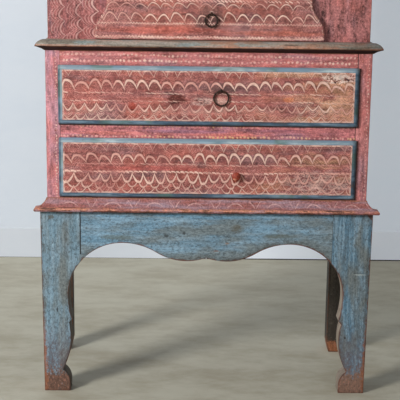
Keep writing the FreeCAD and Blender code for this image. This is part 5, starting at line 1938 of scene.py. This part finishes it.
@dataclass(frozen=True)
class PlainGround(Finish):
    """Plain floor or wall with the faint unevenness of a real one; its back lets the camera through."""

    base: Colour = tone(200, 196, 182)
    other: Colour = tone(190, 186, 172)
    # painted light: glows that brighten the ground from left to right and towards the wall
    glow_left: float = 0.0
    glow_right: float = 0.0
    glow_far: float = 0.0
    span: float = 700.0
    far: tuple[float, float] = (1200.0, -100.0)

    def paint(self, graph: Graph) -> Coat:
        """Draws a faint mottle.

        Args:
            graph: Where the nodes go.

        Returns:
            The ground's coat.
        """
        mottle = graph.noise(160.0, 6.0, 0.7, graph.stretch((0.5, 1.0, 1.0)))
        colour = graph.mix(self.base, (self.other, mottle.fall(0.68, 0.36)))
        return Coat(colour, mottle * 0.1 + 0.6, mottle * 0.2)

    def surface(self, graph: Graph, shader: bpy.types.Node) -> Signal:
        """Lifts the ground with painted light seen by camera, glossy and transmission rays; leaves its back
        clear.

        Args:
            graph: Where the nodes go.
            shader: The ground's shader.

        Returns:
            The surface.
        """
        path = graph.node("ShaderNodeLightPath")
        seen = reduce(Signal.most, (Signal(graph, path.outputs[f"Is {way} Ray"])
                                    for way in ("Camera", "Glossy", "Transmission")))
        # painted light: a glow that changes from left to right and grows towards the wall
        lift = graph.x.fall(-self.span, self.span) * (self.glow_left - self.glow_right) + self.glow_right
        lift = lift + graph.y.fall(*self.far) * self.glow_far
        shader.inputs["Emission Color"].default_value = self.base
        graph.feed(shader.inputs["Emission Strength"], seen * lift)
        back = Signal(graph, graph.node("ShaderNodeNewGeometry").outputs["Backfacing"])
        clear = graph.node("ShaderNodeBsdfTransparent")
        mixed = graph.node("ShaderNodeMixShader", {0: back, 1: Signal(graph, shader.outputs["BSDF"]),
                                                   2: Signal(graph, clear.outputs["BSDF"])})
        return Signal(graph, mixed.outputs["Shader"])


@dataclass
class Stage:
    """Pale floor, wall and skirting, in metres."""

    wall_y: float = 1.38
    reach: float = 7.0
    skirting: float = 0.135
    skirting_depth: float = 0.02
    ease: float = 0.004
    # where the dark sheet of painted shade in the gap under the skirting lies
    gap_front: float = 0.001
    gap_foot: float = 0.0004
    gap_left: float = 0.0016
    gap_right: float = 0.0048
    gap_narrows: tuple[float, float] = (0.3, -0.2)

    def build(self) -> list[bpy.types.Object]:
        """Makes the floor, the wall, the skirting board and a dark sheet of painted shade under it.

        Returns:
            The stage's objects.
        """
        # painted light: the floor glows more towards the wall, the wall and skirting more to the right
        stone = PlainGround("floor_plain", base=tone(184, 180, 163), other=tone(162, 155, 136), glow_far=0.16)
        plaster = PlainGround("wall_plain", base=tone(217, 225, 235), other=tone(213, 222, 233),
                              glow_left=0.06, glow_right=0.37)
        upright = Matrix.Translation((0.0, self.wall_y, self.reach)) @ Matrix.Rotation(math.pi / 2, 4, "X")
        return [self.sheet("floor", stone, Matrix.Identity(4)), self.sheet("wall", plaster, upright),
                self.board(), self.crack()]

    def crack(self) -> bpy.types.Object:
        """Makes a dark sheet, painted shade of the gap under the skirting, which closes towards the left.

        Returns:
            The sheet of painted shade.
        """
        mesh = bmesh.new()
        front = self.wall_y - self.skirting_depth - self.gap_front
        wide, narrow = self.gap_narrows
        outline = ((-self.reach, self.gap_foot), (self.reach, self.gap_foot), (self.reach, self.gap_right),
                   (wide, self.gap_right), (narrow, self.gap_left), (-self.reach, self.gap_left))
        mesh.faces.new([mesh.verts.new((x, front, z)) for x, z in outline])
        return self.stand("skirting_gap", mesh,
                          PlainGround("gap_dark", base=tone(34, 32, 30), other=tone(26, 24, 22)))

    def sheet(self, name: str, finish: Finish, place: Matrix) -> bpy.types.Object:
        """Makes a square sheet of the stage.

        Args:
            name: Its name.
            finish: Its finish.
            place: Where it lies.

        Returns:
            The sheet.
        """
        mesh = bmesh.new()
        bmesh.ops.create_grid(mesh, x_segments=1, y_segments=1, size=self.reach, matrix=place)
        return self.stand(name, mesh, finish)

    def board(self) -> bpy.types.Object:
        """Makes the skirting board's face and its eased top edge, which aren't seen from behind.

        Returns:
            The skirting.
        """
        mesh = bmesh.new()
        front = self.wall_y - self.skirting_depth
        profile = ((front, 0.0), (front, self.skirting - self.ease), (front + self.ease, self.skirting))
        left, right = ([mesh.verts.new((end, y, z)) for y, z in profile] for end in (-self.reach, self.reach))
        for step in range(len(profile) - 1):
            mesh.faces.new((left[step], right[step], right[step + 1], left[step + 1]))
        return self.stand("skirting", mesh, PlainGround(
            "skirting_plain", base=tone(218, 224, 232), other=tone(214, 221, 230), glow_left=0.02,
            glow_right=0.34))

    @staticmethod
    def stand(name: str, mesh: bmesh.types.BMesh, finish: Finish) -> bpy.types.Object:
        """Puts a mesh on the stage.

        Args:
            name: Its name.
            mesh: The mesh, which is used up.
            finish: Its finish.

        Returns:
            The stage's object.
        """
        made = finished(name, mesh, finish)
        return made


@dataclass(frozen=True)
class Lamp:
    """A square soft lamp that the camera doesn't see, in metres and watts."""

    name: str
    at: tuple[float, float, float]
    aim: tuple[float, float, float]
    size: float
    power: float

    def build(self) -> None:
        """Hangs the lamp and turns it to its aim."""
        data = bpy.data.lights.new(self.name, "AREA")
        data.size, data.energy = self.size, self.power
        made = bpy.data.objects.new(self.name, data)
        made.visible_camera = False
        way = Vector(self.aim) - Vector(self.at)
        made.matrix_world = Matrix.Translation(self.at) @ way.to_track_quat("-Z", "Y").to_matrix().to_4x4()
        bpy.context.scene.collection.objects.link(made)


@dataclass
class Studio:
    """The camera at the photograph's viewing angle, soft lamps and the view's settings."""

    eye: tuple[float, float, float] = (-0.0596, -3.5432, 1.3379)
    yaw: float = math.radians(0.659)
    pitch: float = math.radians(-12.308)
    roll: float = math.radians(-0.773)
    lens: float = 102.76
    sky: Colour = (0.93, 0.97, 1.0, 1.0)
    sky_strength: float = 0.31
    lamps: tuple[Lamp, ...] = (Lamp("key", (-3.2, -3.0, 2.4), (0.0, 0.0, 0.75), 1.0, 200.0),
                               Lamp("fill", (2.4, -3.6, 1.8), (0.0, 0.0, 0.8), 2.6, 9.0))

    def build(self) -> None:
        """Sets up the camera, the lamps, the world and the view."""
        scene = bpy.context.scene
        scene.view_settings.view_transform = "Standard"
        scene.camera = self.camera()
        for lamp in self.lamps:
            lamp.build()
        world = bpy.data.worlds.new("studio")
        world.use_nodes = True
        background = world.node_tree.nodes["Background"]
        background.inputs["Color"].default_value = self.sky
        background.inputs["Strength"].default_value = self.sky_strength
        scene.world = world

    def camera(self) -> bpy.types.Object:
        """Places and aims the camera.

        Returns:
            The camera.
        """
        level = Vector((math.cos(self.yaw), -math.sin(self.yaw), 0.0))
        flat = math.cos(self.pitch)
        forward = Vector((math.sin(self.yaw) * flat, math.cos(self.yaw) * flat, math.sin(self.pitch)))
        down = forward.cross(level)
        right = level * math.cos(self.roll) + down * math.sin(self.roll)
        low = down * math.cos(self.roll) - level * math.sin(self.roll)
        data = bpy.data.cameras.new("camera")
        data.lens = self.lens
        made = bpy.data.objects.new("camera", data)
        turn = Matrix((right, -low, -forward)).transposed().to_4x4()
        made.matrix_world = Matrix.Translation(self.eye) @ turn
        bpy.context.scene.collection.objects.link(made)
        return made


UPPER_ROWS = (
    ARCS(974.0, rise=23.0, pitch=35.8, phase=20.0, stroke=1.9, strength=0.7),
    ARCS(937.0, rise=23.0, pitch=35.8, phase=3.8, stroke=3.9, peak=0.38, skew=0.3, power=2.3),
    ROPE(927.0, rise=3.0, pitch=17.0, stroke=1.9, strength=0.75),
    ROPE(904.0, rise=3.0, pitch=15.0, stroke=1.9, strength=0.75),
    ARCS(895.0, rise=-19.0, pitch=31.5, phase=12.0, stroke=3.0, echoes=3.0, echo=0.95, spacing=6.6, power=1.7,
         peak=0.5, strength=0.9),
    ARCS(863.0, rise=-16.0, pitch=33.0, phase=2.0, stroke=2.6, peak=0.5, power=1.7, strength=0.75))
LOWER_ROWS = (
    ARCS(755.0, rise=24.0, pitch=35.4, phase=14.0, stroke=1.9, strength=0.65),
    ARCS(719.0, rise=25.0, pitch=36.0, phase=-7.0, stroke=3.9, peak=0.4, skew=0.25, power=2.3),
    ROPE(716.0, rise=3.0, pitch=17.0, stroke=1.9, strength=0.55),
    ROPE(692.0, rise=5.0, pitch=14.0, stroke=3.4, zigzag=0.35),
    ARCS(687.0, rise=-25.0, pitch=33.5, phase=5.0, stroke=3.5, peak=0.5, power=2.3, strength=0.95),
    ARCS(665.0, rise=-20.0, pitch=33.5, phase=21.8, stroke=2.4, peak=0.5, power=2.2, strength=0.7),
    ARCS(647.0, rise=-18.0, pitch=33.5, phase=7.0, stroke=2.4, peak=0.5, power=2.2, strength=0.7))
UPPER_SPOTS = (
    Spot(34.0, 938.0, 58.0, 22.0, tone(88, 64, 60), 0.6),
    Spot(37.0, 906.0, 24.0, 14.0, tone(206, 168, 154), 0.55),
    Spot(-18.0, 905.0, 44.0, 13.0, tone(226, 194, 182), 0.6, 0.5),
    Spot(-92.0, 910.0, 34.0, 19.0, tone(98, 46, 40), 1.0),
    Spot(-224.0, 877.0, 20.0, 28.0, tone(168, 62, 46), 0.8),
    Spot(236.0, 912.0, 20.0, 9.0, tone(208, 116, 74), 0.7),
    Spot(270.0, 918.0, 70.0, 16.0, tone(198, 138, 104), 0.45),
    Spot(250.0, 987.0, 120.0, 12.0, tone(210, 162, 130), 0.55),
    Spot(340.0, 900.0, 100.0, 38.0, tone(214, 172, 148), 0.3, 0.3),
    Spot(382.0, 976.0, 60.0, 17.0, tone(232, 212, 200), 0.85, 1.0))
LOWER_SPOTS = (
    Spot(330.0, 664.0, 130.0, 40.0, tone(218, 184, 172), 0.5, 0.25),
    Spot(88.0, 672.0, 14.0, 17.0, tone(150, 62, 42)),
    Spot(-160.0, 703.0, 190.0, 9.0, tone(170, 76, 70), 0.5))


def main() -> None:
    """Builds the cabinet's sub-assemblies, the stage and the studio, and reports each piece."""
    logging.basicConfig(level=logging.INFO, format="%(name)s: %(message)s")
    assemblies = [Stand(), Chest(), ChestDrawer(level="upper", rows=UPPER_ROWS, spots=UPPER_SPOTS),
                  ChestDrawer(level="lower", low=614.0, high=792.0, rows=LOWER_ROWS, spots=LOWER_SPOTS),
                  ShapedDrawer(), Cupboard(), Door(), Ironwork()]
    for assembly in assemblies:
        for piece in assembly.build():
            LOG.info("%s: %s, %d faces", type(assembly).__name__, piece.name, len(piece.data.polygons))
    for part in Stage().build():
        LOG.info("stage: %s", part.name)
    Studio().build()


if __name__ == "__main__":
    main()
